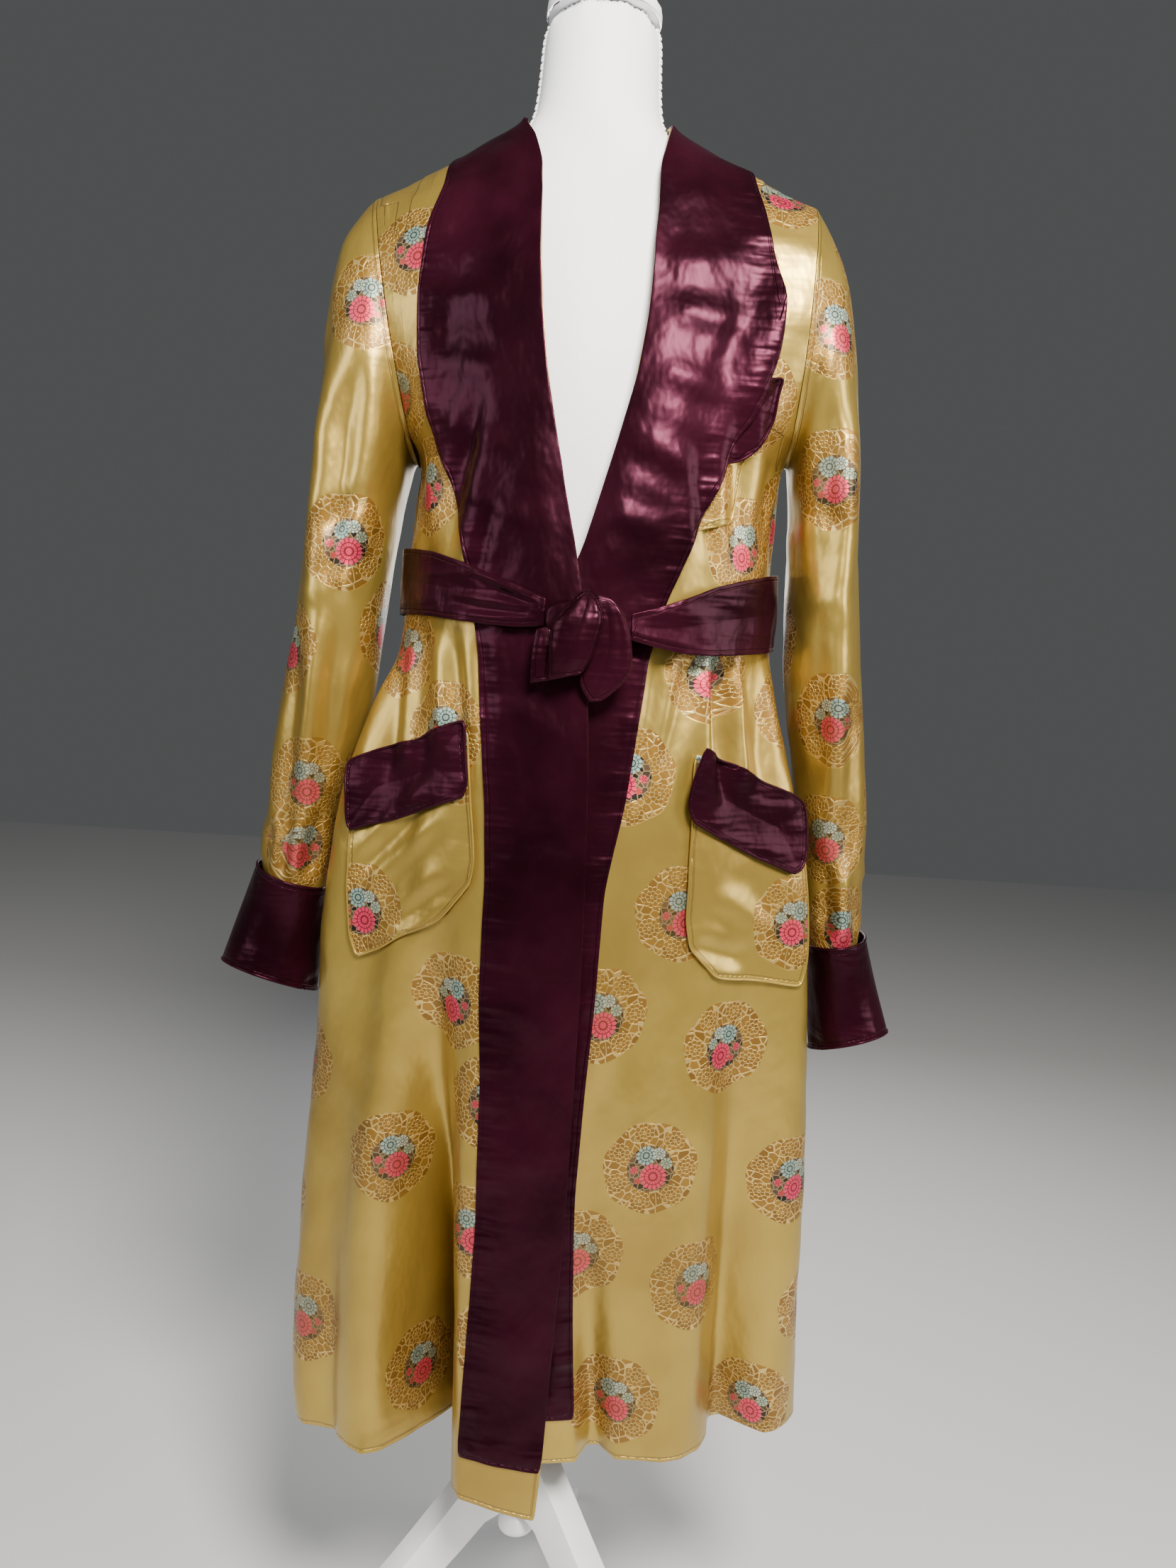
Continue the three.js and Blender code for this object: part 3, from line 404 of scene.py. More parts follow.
# %% [markdown]
# ## Burgundy satin
# The facing is a plain heavy satin, almost black in shade and mauve pink where a lamp catches it.
# Its base is nearly black, and a pink tint on the shine keeps the highlights from going grey.

# %%
burgundy, s, shader = new_material("burgundy satin")
surface = cloth_surface(s, 0.006, 0.0040)
place = s.node("ShaderNodeTexCoord").outputs["Object"]
depth = s.noise(place, 9.0, 3.0)
dyed = s.mix(s.ramp(depth, 0.3, 0.75), (0.006, 0.0007, 0.0021, 1), (0.020, 0.0024, 0.0070, 1))
s.feed(shader.inputs["Base Color"], dyed)
s.feed(shader.inputs["Roughness"], s.maths("ADD", 0.27, s.maths("MULTIPLY", depth, 0.10)))
shader.inputs["Metallic"].default_value = 0.15
shader.inputs["Specular IOR Level"].default_value = 0.22
shader.inputs["Specular Tint"].default_value = (1.0, 0.30, 0.52, 1)
cloth_bump(s, shader, surface.outputs["Height"])
print("burgundy satin nodes:", len(burgundy.node_tree.nodes))

# %% [markdown]
# ## Form cover, paint and braid
# The form wears a smooth white jersey, its stand is painted, and a thin twisted braid covers its
# seams. All three are white, so they differ in roughness and relief alone.

# %%
jersey, s, shader = new_material("white form cover")
place = s.node("ShaderNodeTexCoord").outputs["Object"]
knit = s.noise(place, 900.0, 1.0)
whites = s.mix(s.noise(place, 6.0, 2.0), (0.84, 0.84, 0.88, 1), (0.93, 0.93, 0.95, 1))
s.feed(shader.inputs["Base Color"], whites)
shader.inputs["Roughness"].default_value = 0.62
cloth_bump(s, shader, s.maths("MULTIPLY", knit, 0.0002))

paint, s, shader = new_material("white painted wood")
place = s.node("ShaderNodeTexCoord").outputs["Object"]
grain = s.noise(s.stretched(place, (60.0, 60.0, 9.0)), 1.0, 3.0)
s.feed(shader.inputs["Base Color"], s.mix(grain, (0.84, 0.84, 0.85, 1), (0.92, 0.92, 0.92, 1)))
s.feed(shader.inputs["Roughness"], s.maths("ADD", 0.3, s.maths("MULTIPLY", grain, 0.15)))
cloth_bump(s, shader, s.maths("MULTIPLY", grain, 0.0002))

braid, s, shader = new_material("white twisted braid")
place = s.node("ShaderNodeTexCoord").outputs["Object"]
strand = s.noise(place, 500.0, 1.0)
s.feed(shader.inputs["Base Color"], s.mix(strand, (0.70, 0.70, 0.70, 1), (0.92, 0.92, 0.90, 1)))
shader.inputs["Roughness"].default_value = 0.5
cloth_bump(s, shader, s.maths("MULTIPLY", strand, 0.0004))
print("finishes:", ", ".join(m.name for m in (gold, burgundy, jersey, paint, braid)))

# %% [markdown]
# ## Smooth pieces from the solids
# A sewn panel is a smooth curved sheet, while its solid is a coarse grid with a true cloth
# thickness. A copy of the solid keeps its place and its wall: its triangles are joined back to
# quads, its rims are creased a little so that they stay crisp, and it is subdivided.

# %%
WALL = 0.0032
MERGE = 1e-5


def merged(mesh):
    work = bmesh.new()
    work.from_mesh(mesh)
    bmesh.ops.remove_doubles(work, verts=work.verts, dist=MERGE)
    return work


def quads_of(mesh):
    work = merged(mesh)
    bmesh.ops.join_triangles(work, faces=work.faces, angle_face_threshold=math.pi,
                             angle_shape_threshold=math.pi)
    bmesh.ops.recalc_face_normals(work, faces=work.faces)
    return work


def is_rim(face):
    return min(e.calc_length() for e in face.edges) < WALL


def write_back(work, mesh):
    for face in work.faces:
        face.smooth = True
    work.to_mesh(mesh)
    work.free()


def apply_modifier(piece, name):
    bpy.ops.object.select_all(action="DESELECT")
    piece.select_set(True)
    bpy.context.view_layer.objects.active = piece
    bpy.ops.object.modifier_apply(modifier=name)


def subdivide(piece, levels):
    modifier = piece.modifiers.new("smooth", "SUBSURF")
    modifier.levels = levels
    modifier.render_levels = levels
    apply_modifier(piece, "smooth")


def smooth_piece(node, name, levels, rim=0.45):
    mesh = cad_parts[node].data.copy()
    work = quads_of(mesh)
    crease = work.edges.layers.float.new("crease_edge")
    for face in work.faces:
        if is_rim(face):
            for e in face.edges:
                e[crease] = rim
    write_back(work, mesh)
    mesh.materials.clear()
    piece = add_object(name, mesh)
    subdivide(piece, levels)
    for layer in list(piece.data.uv_layers):
        piece.data.uv_layers.remove(layer)
    return piece


def points_of(piece):
    flat = np.empty(len(piece.data.vertices) * 3)
    piece.data.vertices.foreach_get("co", flat)
    return flat.reshape(-1, 3)


def set_points(piece, points):
    piece.data.vertices.foreach_set("co", np.ascontiguousarray(points).ravel())
    piece.data.update()


def finish_piece(piece, node, material):
    piece.data.materials.append(material)
    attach(piece, "root")
    if node:
        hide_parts(node)
    return piece


print("faces narrower than this are rims (m):", WALL)

# %% [markdown]
# ## Creases
# The belt gathers the body, the cuffs gather the sleeves, and the collar rolls, and each leaves
# creases in known places. A crease is a line as seen from the front, with a valley along it and a
# ridge on each side; a negative depth makes a standing fold. Both faces of the cloth move
# together, out from the axis of the body or of the arm, so that the cloth keeps its thickness. A
# little uneven rippling is added everywhere, the same for pieces that lie on each other.

# %%
CREASES = {
    "body": table(
        "x z to_x to_z half deep",
        (-140, 1150, -95, 1290, 12, 4.5), (-112, 1165, -84, 1330, 9, 4.0),
        (-150, 1180, -150, 1330, 11, 3.5), (-86, 1140, -66, 1230, 6, 2.5),
        (-150, 1120, -160, 960, 11, 5.0), (-128, 1120, -120, 985, 9, 4.0),
        (-100, 1120, -84, 1010, 8, 3.5), (-74, 1120, -58, 1000, 8, 3.0),
        (138, 1110, 152, 970, 8, 9.0), (112, 1108, 96, 1000, 9, 3.5),
        (166, 1112, 190, 985, 9, 4.5), (84, 1108, 70, 980, 8, 3.0),
        (150, 1195, 140, 1330, 10, 4.0), (176, 1200, 180, 1330, 10, 4.0),
        (122, 1190, 104, 1290, 8, 3.5), (192, 1490, 136, 1300, 13, -6.0),
        (206, 1440, 168, 1290, 10, 5.0), (-174, 1500, -158, 1290, 9, -4.5),
        (-165, 900, -190, 520, 22, 4.0), (-100, 860, -128, 420, 20, 4.5),
        (96, 870, 120, 420, 22, 4.5), (180, 800, 214, 430, 20, 4.0),
        (-62, 700, -70, 380, 12, -4.0), (60, 640, 74, 380, 12, -4.0),
        (-176, 870, -96, 960, 9, -3.5), (-186, 905, -110, 985, 8, -3.0),
        (-150, 840, -82, 900, 8, 2.5), (60, 940, 90, 700, 16, 3.0),
        (150, 900, 210, 850, 12, -3.0), (130, 850, 190, 830, 9, 3.0)),
    "sleeve_right": table(
        "x z to_x to_z half deep",
        (-200, 1360, -222, 1180, 12, 7.0), (-234, 1340, -244, 1110, 12, -6.0),
        (-206, 1150, -226, 960, 11, 7.0), (-250, 1100, -258, 930, 10, 6.0),
        (-222, 950, -236, 872, 6, 4.0), (-240, 945, -248, 872, 6, -4.0),
        (-256, 940, -262, 872, 6, 4.0), (-272, 930, -276, 880, 6, 4.0),
        (-188, 1240, -236, 1200, 9, 3.5), (-196, 1160, -250, 1140, 9, -3.0)),
    "sleeve_left": table(
        "x z to_x to_z half deep",
        (216, 1360, 236, 1180, 12, 7.0), (246, 1340, 254, 1120, 12, -6.0),
        (228, 1160, 250, 950, 11, 7.0), (266, 1100, 278, 900, 10, 6.0),
        (256, 930, 266, 842, 6, 4.0), (272, 925, 280, 842, 6, -4.0),
        (288, 920, 294, 842, 6, 4.0), (300, 910, 302, 860, 6, 4.0),
        (214, 1250, 252, 1226, 9, 3.5), (216, 1170, 262, 1150, 9, -3.0)),
    "band": table(
        "x z to_x to_z half deep",
        (-138, 1440, -52, 1462, 12, -2.6), (-142, 1400, -70, 1405, 10, -2.4),
        (-132, 1350, -60, 1338, 11, -2.4), (-118, 1300, -50, 1270, 10, -2.2),
        (-92, 1240, -30, 1208, 9, -2.0), (-96, 1480, -52, 1530, 12, -2.0),
        (60, 1440, 142, 1452, 12, -2.6), (72, 1400, 146, 1392, 10, -2.4),
        (62, 1350, 134, 1330, 11, -2.4), (46, 1290, 112, 1262, 10, -2.2),
        (30, 1226, 84, 1210, 9, -2.0), (66, 1500, 120, 1520, 12, -2.0),
        (-50, 1060, 14, 1020, 12, -2.6), (-56, 930, 16, 950, 13, -2.4),
        (-52, 800, 20, 770, 14, -2.6), (-50, 640, 16, 664, 13, -2.4),
        (-48, 500, 14, 470, 12, -2.6), (-46, 390, 12, 404, 12, -2.4)),
    "belt": table(
        "x z to_x to_z half deep",
        (50, 1141, 104, 1168, 4.5, -2.2), (54, 1121, 110, 1116, 5, -1.4),
        (-20, 1143, -86, 1170, 3.5, -2.2), (-18, 1136, -110, 1150, 4, -1.8),
        (-20, 1129, -90, 1130, 3.5, -2.0)),
}


SEAM_FADE = 0.028


def crease_amount(x, z, creases):
    amount = np.zeros_like(x)
    for c in creases:
        along = np.array((c["to_x"] - c["x"], c["to_z"] - c["z"]), float)
        share = ((x - c["x"]) * along[0] + (z - c["z"]) * along[1]) / (along @ along)
        held = np.clip(share, 0, 1)
        away = np.hypot(x - c["x"] - held * along[0], z - c["z"] - held * along[1]) / c["half"]
        taper = smooth(-0.05, 0.25, share) * smooth(1.05, 0.7, share)
        amount += c["deep"] * taper * (0.45 * np.exp(-(away - 1.9) ** 2) - np.exp(-away ** 2))
    return amount


def tree_of(spots):
    tree = KDTree(max(1, len(spots)))
    for i, spot in enumerate(spots):
        tree.insert(spot, i)
    tree.balance()
    return tree


def ripple(points, scale, stretch, seed):
    shift = Vector((seed * 3.7, seed * 1.3, seed * 7.1))
    spots = points / np.array((scale, scale, scale * stretch))
    return np.array([noise.noise(Vector(p) + shift) for p in spots])


def wrinkle(piece, creases, axis, amplitude, seed, seams=()):
    """Moves both faces of the cloth together, out from the axis in plan, and less near a seam."""
    points = points_of(piece)
    place = (points - np.array(AXIS)) * 1000
    share = np.clip((place[:, 2] - axis["z"]) / (axis["to_z"] - axis["z"]), 0, 1)
    middle_x = axis["x"] + share * (axis["to_x"] - axis["x"])
    out = np.stack((place[:, 0] - middle_x, place[:, 1] - axis["y"]), axis=1)
    out /= np.maximum(np.linalg.norm(out, axis=1), 1e-6)[:, None]
    front = smooth(0.1, -0.35, out[:, 1])
    amount = crease_amount(place[:, 0], place[:, 2], creases) * front
    if amplitude:
        small = 0.5 * ripple(place, 21.0, 2.0, seed + 1)
        amount += amplitude * (ripple(place, 46.0, 3.2, seed) + small)
    if seams:
        tree = tree_of(seams)
        away = np.array([tree.find(w.co)[2] for w in piece.data.vertices])
        amount *= smooth(0.0, SEAM_FADE, away)
    points[:, :2] += out * amount[:, None] / 1000
    set_points(piece, points)


BODY_AXIS = {"x": 10, "y": 20, "z": 300, "to_x": 0, "to_z": 1600}
SLEEVE_AXIS = {
    "sleeve_right": {"x": -254, "y": 12, "z": 870, "to_x": -190, "to_z": 1390},
    "sleeve_left": {"x": 278, "y": 8, "z": 835, "to_x": 226, "to_z": 1390},
}
print("creases:", {name: len(rows) for name, rows in CREASES.items()})

# %% [markdown]
# ## Sewn edges
# Puckers and stitches need to know how far a place is from the seam. The narrow faces round a
# solid are its cut edges, so points along them are gathered, and every point of the smooth piece
# takes its distance to the nearest of them. Where only some edges are sewn, the way those edges
# face picks them.

# %%
STEP = 0.004


def rim_points(node, faces_to=None):
    work = quads_of(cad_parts[node].data)
    spots = []
    for face in work.faces:
        if not is_rim(face) or (faces_to is not None and face.normal.dot(Vector(faces_to)) < 0.1):
            continue
        long = max(face.edges, key=lambda e: e.calc_length())
        a, b = (w.co for w in long.verts)
        steps = max(1, int((b - a).length / STEP))
        spots += [a.lerp(b, i / steps) for i in range(steps + 1)]
    work.free()
    return spots


def mark_edge(piece, spots):
    tree = tree_of(spots)
    layer = piece.data.attributes.new("edge", "FLOAT", "POINT")
    layer.data.foreach_set("value", [tree.find(w.co)[2] if spots else 1.0
                                     for w in piece.data.vertices])


print("points along the right front's edges:", len(rim_points("front_right")))

# %% [markdown]
# ## Roundels on a piece
# The roundels were woven before the cloth was cut, so seams and folds cut across them. Every face
# takes the nearest roundel, and its corners keep their place in that roundel's own round
# coordinates, measured along the cloth. The weave runs in two mirrored versions.

# %%
ROUNDEL = 0.045


def print_roundels(piece, centres):
    mesh = piece.data
    tree = BVHTree.FromObject(piece, bpy.context.evaluated_depsgraph_get())
    frames = []
    for spot, side in centres:
        found, normal, _, _ = tree.find_nearest(spot)
        up = (Vector((0, 0, 1)) - normal * normal.z).normalized()
        frames.append((found, up.cross(normal) * side, up))
    middles = np.array([f[0] for f in frames])
    rights = np.array([f[1] for f in frames])
    ups = np.array([f[2] for f in frames])
    count = len(mesh.polygons)
    face_middle = np.empty(count * 3)
    mesh.polygons.foreach_get("center", face_middle)
    face_middle = face_middle.reshape(-1, 3)
    nearest = np.zeros(count, int)
    best = np.full(count, np.inf)
    for i, middle in enumerate(middles):
        away = np.linalg.norm(face_middle - middle, axis=1)
        nearest[away < best] = i
        best = np.minimum(best, away)
    corner_of = np.empty(len(mesh.loops), int)
    mesh.loops.foreach_get("vertex_index", corner_of)
    sizes = np.empty(count, int)
    mesh.polygons.foreach_get("loop_total", sizes)
    owner = np.repeat(nearest, sizes)
    away = points_of(piece)[corner_of] - middles[owner]
    u = (away * rights[owner]).sum(axis=1)
    v = (away * ups[owner]).sum(axis=1)
    flat = np.maximum(np.hypot(u, v), 1e-6)
    stretch = np.linalg.norm(away, axis=1) / flat / ROUNDEL
    layer = mesh.uv_layers.new(name="roundel")
    layer.data.foreach_set("uv", np.stack((u * stretch, v * stretch), axis=1).ravel())


FRONT_ROUNDELS = {
    "front_right": table(
        "x y z side",
        (-153, -71, 1453, 1), (-155, -40, 1338, 1), (-134, -68, 1246, -1), (-146, -54, 1098, 1),
        (-104, -104, 1029, 1), (-80, -110, 787, 1), (-130, -88, 628, 1), (-53, -126, 580, 1),
        (-222, -20, 700, 1), (-218, -47, 444, -1), (-98, -52, 405, 1), (-194, 0, 880, -1),
        (-20, -130, 480, 1), (-40, -130, 700, -1), (-224, 5, 560, 1), (-150, 0, 1180, 1)),
    "front_left": table(
        "x y z side",
        (62, -120, 999, -1), (130, -94, 1092, 1), (156, -76, 1207, -1), (120, -105, 877, 1),
        (51, -117, 783, -1), (170, -82, 750, -1), (107, -103, 638, 1), (246, -50, 615, -1),
        (156, -84, 522, -1), (44, -106, 553, 1), (86, -91, 405, 1), (221, -41, 378, 1),
        (171, -55, 1525, -1), (186, -20, 1240, 1), (150, -90, 1330, 1), (120, -80, 1440, -1),
        (240, -20, 850, 1), (262, -10, 480, 1), (200, -20, 1060, -1)),
    "pocket_right": table("x y z side", (-173, -78, 857, 1), (-90, -130, 1010, 1),
                          (-150, -100, 1010, -1)),
    "pocket_left": table("x y z side", (232, -76, 868, -1), (140, -125, 1010, 1)),
    "breast_pocket": table("x y z side", (112, -125, 1262, 1), (150, -115, 1330, -1)),
    "sleeve_right": table(
        "x y z side",
        (-197, -68, 1407, -1), (-207, -63, 1193, 1), (-262, -28, 1096, 1), (-239, -55, 968, 1),
        (-226, -45, 905, -1), (-205, 65, 1480, 1), (-245, 20, 1330, -1), (-252, 30, 1212, 1),
        (-190, 60, 1120, -1), (-270, 35, 1000, -1), (-215, 80, 1380, 1), (-222, 78, 1260, 1),
        (-240, 66, 1090, 1), (-255, 56, 930, 1), (-180, 0, 1120, 1), (-205, 20, 980, -1)),
    "sleeve_left": table(
        "x y z side",
        (226, -90, 1402, 1), (224, -83, 1272, 1), (248, -65, 1057, -1), (281, -49, 857, 1),
        (240, -56, 940, 1), (248, -20, 1470, -1), (258, 10, 1350, 1), (262, 20, 1190, -1),
        (284, 20, 1110, 1), (294, 10, 980, 1), (232, 70, 1420, 1), (245, 74, 1290, -1),
        (262, 72, 1150, 1), (278, 60, 1010, -1), (272, 58, 890, 1), (215, 10, 1130, 1)),
}


def back_roundels():
    """Staggered rows on the back, thinning in with the body towards the waist and shoulders."""
    spots = []
    for row in range(10):
        z = 395 + 126 * row
        half = 250 if z < 700 else 200
        start = -half + (70 if row % 2 else 0)
        for i in range(4):
            x = start + 140 * i
            if x <= half:
                spots.append((at(x, 135, z), 1 if (row + i) % 2 else -1))
    return spots


print("roundels:", {node: len(rows) for node, rows in FRONT_ROUNDELS.items()},
      "back:", len(back_roundels()))

# %% [markdown]
# ## Gold cloth
# Panels, sleeves and pockets are cut from the brocade. The table lists for each its creases, its
# ripple, and the flat size and area it was cut to.

# %%
GOLD_PIECES = table(
    "node crease amplitude flat area",
    ("front_right", "body", 2.6, (0.37, 1.3), 0.395),
    ("front_left", "body", 2.6, (0.36, 1.3), 0.356),
    ("back", None, 2.8, (0.56, 1.32), 0.650),
    ("sleeve_right", "sleeve_right", 3.6, (0.46, 0.63), 0.204),
    ("sleeve_left", "sleeve_left", 3.6, (0.46, 0.63), 0.2),
    ("pocket_right", "body", 2.6, (0.15, 0.17), 0.0223),
    ("pocket_left", "body", 2.6, (0.15, 0.17), 0.0228),
    ("breast_pocket", "body", 2.6, (0.09, 0.125), 0.0095))
finished = {}
for seed, row in enumerate(GOLD_PIECES):
    node = row["node"]
    piece = smooth_piece(node, node + "_cloth", 3)
    axis = SLEEVE_AXIS.get(node, BODY_AXIS)
    shared = 40 if axis is BODY_AXIS else 60 + seed
    sewn = rim_points(node)
    wrinkle(piece, CREASES.get(row["crease"], []), axis, row["amplitude"], shared,
            [spot for spot in sewn if axis is not BODY_AXIS or spot.z > 1.3])
    mark_edge(piece, sewn)
    centres = back_roundels() if node == "back" else [
        (at(p["x"], p["y"], p["z"]), p["side"]) for p in FRONT_ROUNDELS[node]]
    print_roundels(piece, centres)
    finish_piece(piece, node, gold)
    finished[node] = piece
print("gold pieces:", {node: len(piece.data.polygons) for node, piece in finished.items()})

# %% [markdown]
# ## Burgundy satin
# Collar, cuffs, pocket tops and belt lie on the gold cloth. After its creases, each but the cuffs
# and the belt is lifted wherever it came nearer than a hair to the outer face of the gold, so that
# no gold shows through; the pocket tops are also lifted clear of the pockets.

# %%
OUTWARD = 0.45
SHELL_REACH = 0.02


def outer_shell(pieces):
    """The faces of some pieces that look away from the body, without their narrow rims."""
    corners, faces = [], []
    for piece in pieces:
        shift = len(corners)
        corners += [w.co.copy() for w in piece.data.vertices]
        for face in piece.data.polygons:
            inside = at(0, 0, min(1450, face.center.z * 1000))
            if face.normal.dot((face.center - inside).normalized()) > OUTWARD:
                faces.append([shift + i for i in face.vertices])
    return BVHTree.FromPolygons(corners, faces)


def lift_clear(piece, shell, gap=0.0005, wall=0.002):
    """Lifts what is too near to the shell, and spreads the lift so that it stays smooth."""
    points = points_of(piece)
    amount = np.zeros(len(points))
    ways = np.zeros_like(points)
    for i, w in enumerate(piece.data.vertices):
        spot, normal, _, _ = shell.find_nearest(w.co, SHELL_REACH)
        if spot is not None:
            wanted = gap + (wall if w.normal.dot(normal) > 0.3 else 0)
            amount[i] = max(0.0, wanted - (w.co - spot).dot(normal))
            ways[i] = normal
    ends = np.empty(len(piece.data.edges) * 2, int)
    piece.data.edges.foreach_get("vertices", ends)
    a, b = ends.reshape(-1, 2).T
    count = np.bincount(a, minlength=len(points)) + np.bincount(b, minlength=len(points))
    count = np.maximum(count, 1)
    lifted = int((amount > 0).sum())
    for _ in range(6):
        total = np.bincount(a, amount[b], len(points)) + np.bincount(b, amount[a], len(points))
        amount = np.maximum(amount, total / count)
    set_points(piece, points + ways * amount[:, None])
    return lifted


BURGUNDY_PIECES = table(
    "node crease sewn flat area held",
    ("collar_band_right", "band", (-1, 0, -1), (0.11, 1.62), 0.132, "folded"),
    ("collar_band_left", "band", (1, 0, -1), (0.11, 1.62), 0.123, "folded"),
    ("cuff_right", None, None, (0.34, 0.12), 0.0338, "folded"),
    ("cuff_left", None, None, (0.34, 0.12), 0.0307, "folded"),
    ("pocket_top_right", None, None, (0.14, 0.075), 0.0092, "folded"),
    ("pocket_top_left", None, None, (0.14, 0.075), 0.00925, "folded"),
    ("breast_pocket_top", None, None, (0.11, 0.08), 0.0071, "folded"),
    ("belt", "belt", None, (0.065, 0.95), 0.057, "gathered"))
shell = outer_shell([finished[node] for node in ("front_right", "front_left", "back")])
pockets = outer_shell([finished[node] for node in ("pocket_right", "pocket_left", "breast_pocket")])
for row in BURGUNDY_PIECES:
    node = row["node"]
    piece = smooth_piece(node, node + "_satin", 3)
    if "cuff" not in node:
        wrinkle(piece, CREASES["body"] if node != "belt" else [], BODY_AXIS, 2.6, 40)
    if row["crease"]:
        wrinkle(piece, CREASES[row["crease"]], BODY_AXIS, 0.0, 40)
    lifted = 0 if "cuff" in node or node == "belt" else lift_clear(piece, shell)
    if "pocket" in node:
        lifted += lift_clear(piece, pockets)
    mark_edge(piece, rim_points(node, row["sewn"]))
    finish_piece(piece, node, burgundy)
    finished[node] = piece
    print(node, "points lifted clear:", lifted)

# %% [markdown]
# ## Knot and belt ends
# The belt is tied once. Its two ends come out of the knot as soft folded petals of satin. A petal
# is a thin sheet: rows give its left and right edge as seen from the front, how far forward it
# stands, how much its middle bows out and how far its right edge rolls over. It is skinned as a
# grid, given its thickness and smoothed.

# %%
PETALS = {
    "belt_loop": table(
        "lx lz rx rz y bow lip",
        (14, 1155, 20, 1157, -160, 0, 0), (6, 1147, 27, 1150, -161, 4, 1),
        (-2, 1138, 31, 1141, -162, 7, 3), (-9, 1130, 34, 1134, -163, 9, 4),
        (-12, 1121, 33, 1124, -163, 10, 4), (-13, 1109, 30, 1112, -163, 10, 3),
        (-12, 1098, 27, 1101, -162, 9, 3), (-12, 1087, 22, 1091, -160, 7, 4),
        (-12, 1077, 17, 1084, -158, 4, 3)),
    "belt_end_left": table(
        "lx lz rx rz y bow lip",
        (24, 1153, 38, 1151, -156, 1, 0), (22, 1145, 46, 1144, -156, 3, 1),
        (22, 1134, 53, 1133, -156, 5, 3), (20, 1122, 57, 1121, -155, 6, 4),
        (18, 1110, 59, 1109, -154, 6, 4), (15, 1098, 60, 1098, -153, 6, 4),
        (13, 1086, 59, 1088, -152, 5, 3), (15, 1076, 52, 1077, -152, 4, 3),
        (21, 1066, 41, 1067, -151, 2, 1), (26, 1061, 33, 1062, -150, 0, 0)),
    "belt_end_right": table(
        "lx lz rx rz y bow lip",
        (-24, 1122, -10, 1126, -149, 1, 0), (-26, 1110, -9, 1114, -151, 3, 1),
        (-27, 1098, -9, 1100, -151, 4, 1), (-27, 1086, -9, 1088, -151, 3, 1),
        (-27, 1074, -10, 1077, -149, 1, 0)),
}
PETAL_CELLS = 12
PETAL_WALL = 0.0024


def mesh_piece(name, points, faces):
    mesh = bpy.data.meshes.new(name)
    mesh.from_pydata(points, [], faces)
    return add_object(name, mesh)


def petal(name, rows):
    count = PETAL_CELLS + 1
    points = []
    for i, row in enumerate(rows):
        for j in range(count):
            t = j / PETAL_CELLS
            pleat = 0.9 * math.sin(t * 9 + i * 0.35) * math.sin(math.pi * t)
            forward = row["bow"] * math.sin(math.pi * t) ** 0.7 + pleat * row["bow"] / 8
            forward += row["lip"] * math.exp(-((t - 0.9) / 0.09) ** 2)
            points.append(at(row["lx"] + (row["rx"] - row["lx"]) * t, row["y"] - forward,
                             row["lz"] + (row["rz"] - row["lz"]) * t))
    faces = [(r * count + c, r * count + c + 1, (r + 1) * count + c + 1, (r + 1) * count + c)
             for r in range(len(rows) - 1) for c in range(PETAL_CELLS)]
    piece = mesh_piece(name, points, faces)
    rim = [points[j] for j in range(count)] + [points[-1 - j] for j in range(count)]
    rim += [points[r * count] for r in range(len(rows))]
    rim += [points[r * count + count - 1] for r in range(len(rows))]
    if piece.data.polygons[0].normal.y > 0:
        piece.data.flip_normals()
    wall = piece.modifiers.new("wall", "SOLIDIFY")
    wall.thickness = PETAL_WALL
    wall.offset = -1
    apply_modifier(piece, "wall")
    subdivide(piece, 3)
    for face in piece.data.polygons:
        face.use_smooth = True
    mark_edge(piece, [a.lerp(b, k / 4) for a, b in zip(rim, rim[1:]) if (a - b).length < 0.03
                      for k in range(4)])
    return piece


KNOT_PIECES = table("node flat area", ("belt_knot", (0.065, 0.045), 0.0027),
                    ("belt_loop", (0.05, 0.08), 0.0030),
                    ("belt_end_left", (0.045, 0.09), 0.0032),
                    ("belt_end_right", (0.018, 0.05), 0.00085))
for row in KNOT_PIECES:
    node = row["node"]
    if node in PETALS:
        piece = petal(node + "_satin", PETALS[node])
    else:
        piece = smooth_piece(node, node + "_satin", 3, rim=0.0)
        mark_edge(piece, [])
    finish_piece(piece, node, burgundy)
    finished[node] = piece
print("knot pieces:", {row["node"]: len(finished[row["node"]].data.polygons)
                       for row in KNOT_PIECES})

# %% [markdown]
# ## Piping
# Pocket tops and cuffs are edged with a thin rolled cord of the same satin, and the patch pockets
# with a rolled edge of the gold. The outline is walked round the solid's outer face, each point
# is taken to where the finished cloth ended up, and a thin round tube follows it.

# %%
OFF_ROUNDEL = 4.0


def outline(node):
    """Closed loops of points where a solid's outer face meets its rim."""
    work = quads_of(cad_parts[node].data)
    links = {}
    for edge in work.edges:
        if len(edge.link_faces) != 2:
            continue
        rims = [face for face in edge.link_faces if is_rim(face)]
        walls = [face for face in edge.link_faces if not is_rim(face)]
        if len(rims) != 1:
            continue
        inside = at(0, 0, walls[0].calc_center_median().z * 1000)
        if "cuff" in node:
            inside = sum((w.co for w in work.verts), Vector()) / len(work.verts)
            inside.z = walls[0].calc_center_median().z
        if walls[0].normal.dot(walls[0].calc_center_median() - inside) > 0:
            a, b = edge.verts
            links.setdefault(a.index, []).append(b.index)
            links.setdefault(b.index, []).append(a.index)
    work.verts.ensure_lookup_table()
    loops, left = [], set(links)
    while left:
        here = min(left)
        walk = []
        while here is not None:
            walk.append(work.verts[here].co.copy())
            left.discard(here)
            here = next((i for i in links[here] if i in left), None)
        loops.append(walk)
    work.free()
    return [walk for walk in loops if len(walk) > 3]


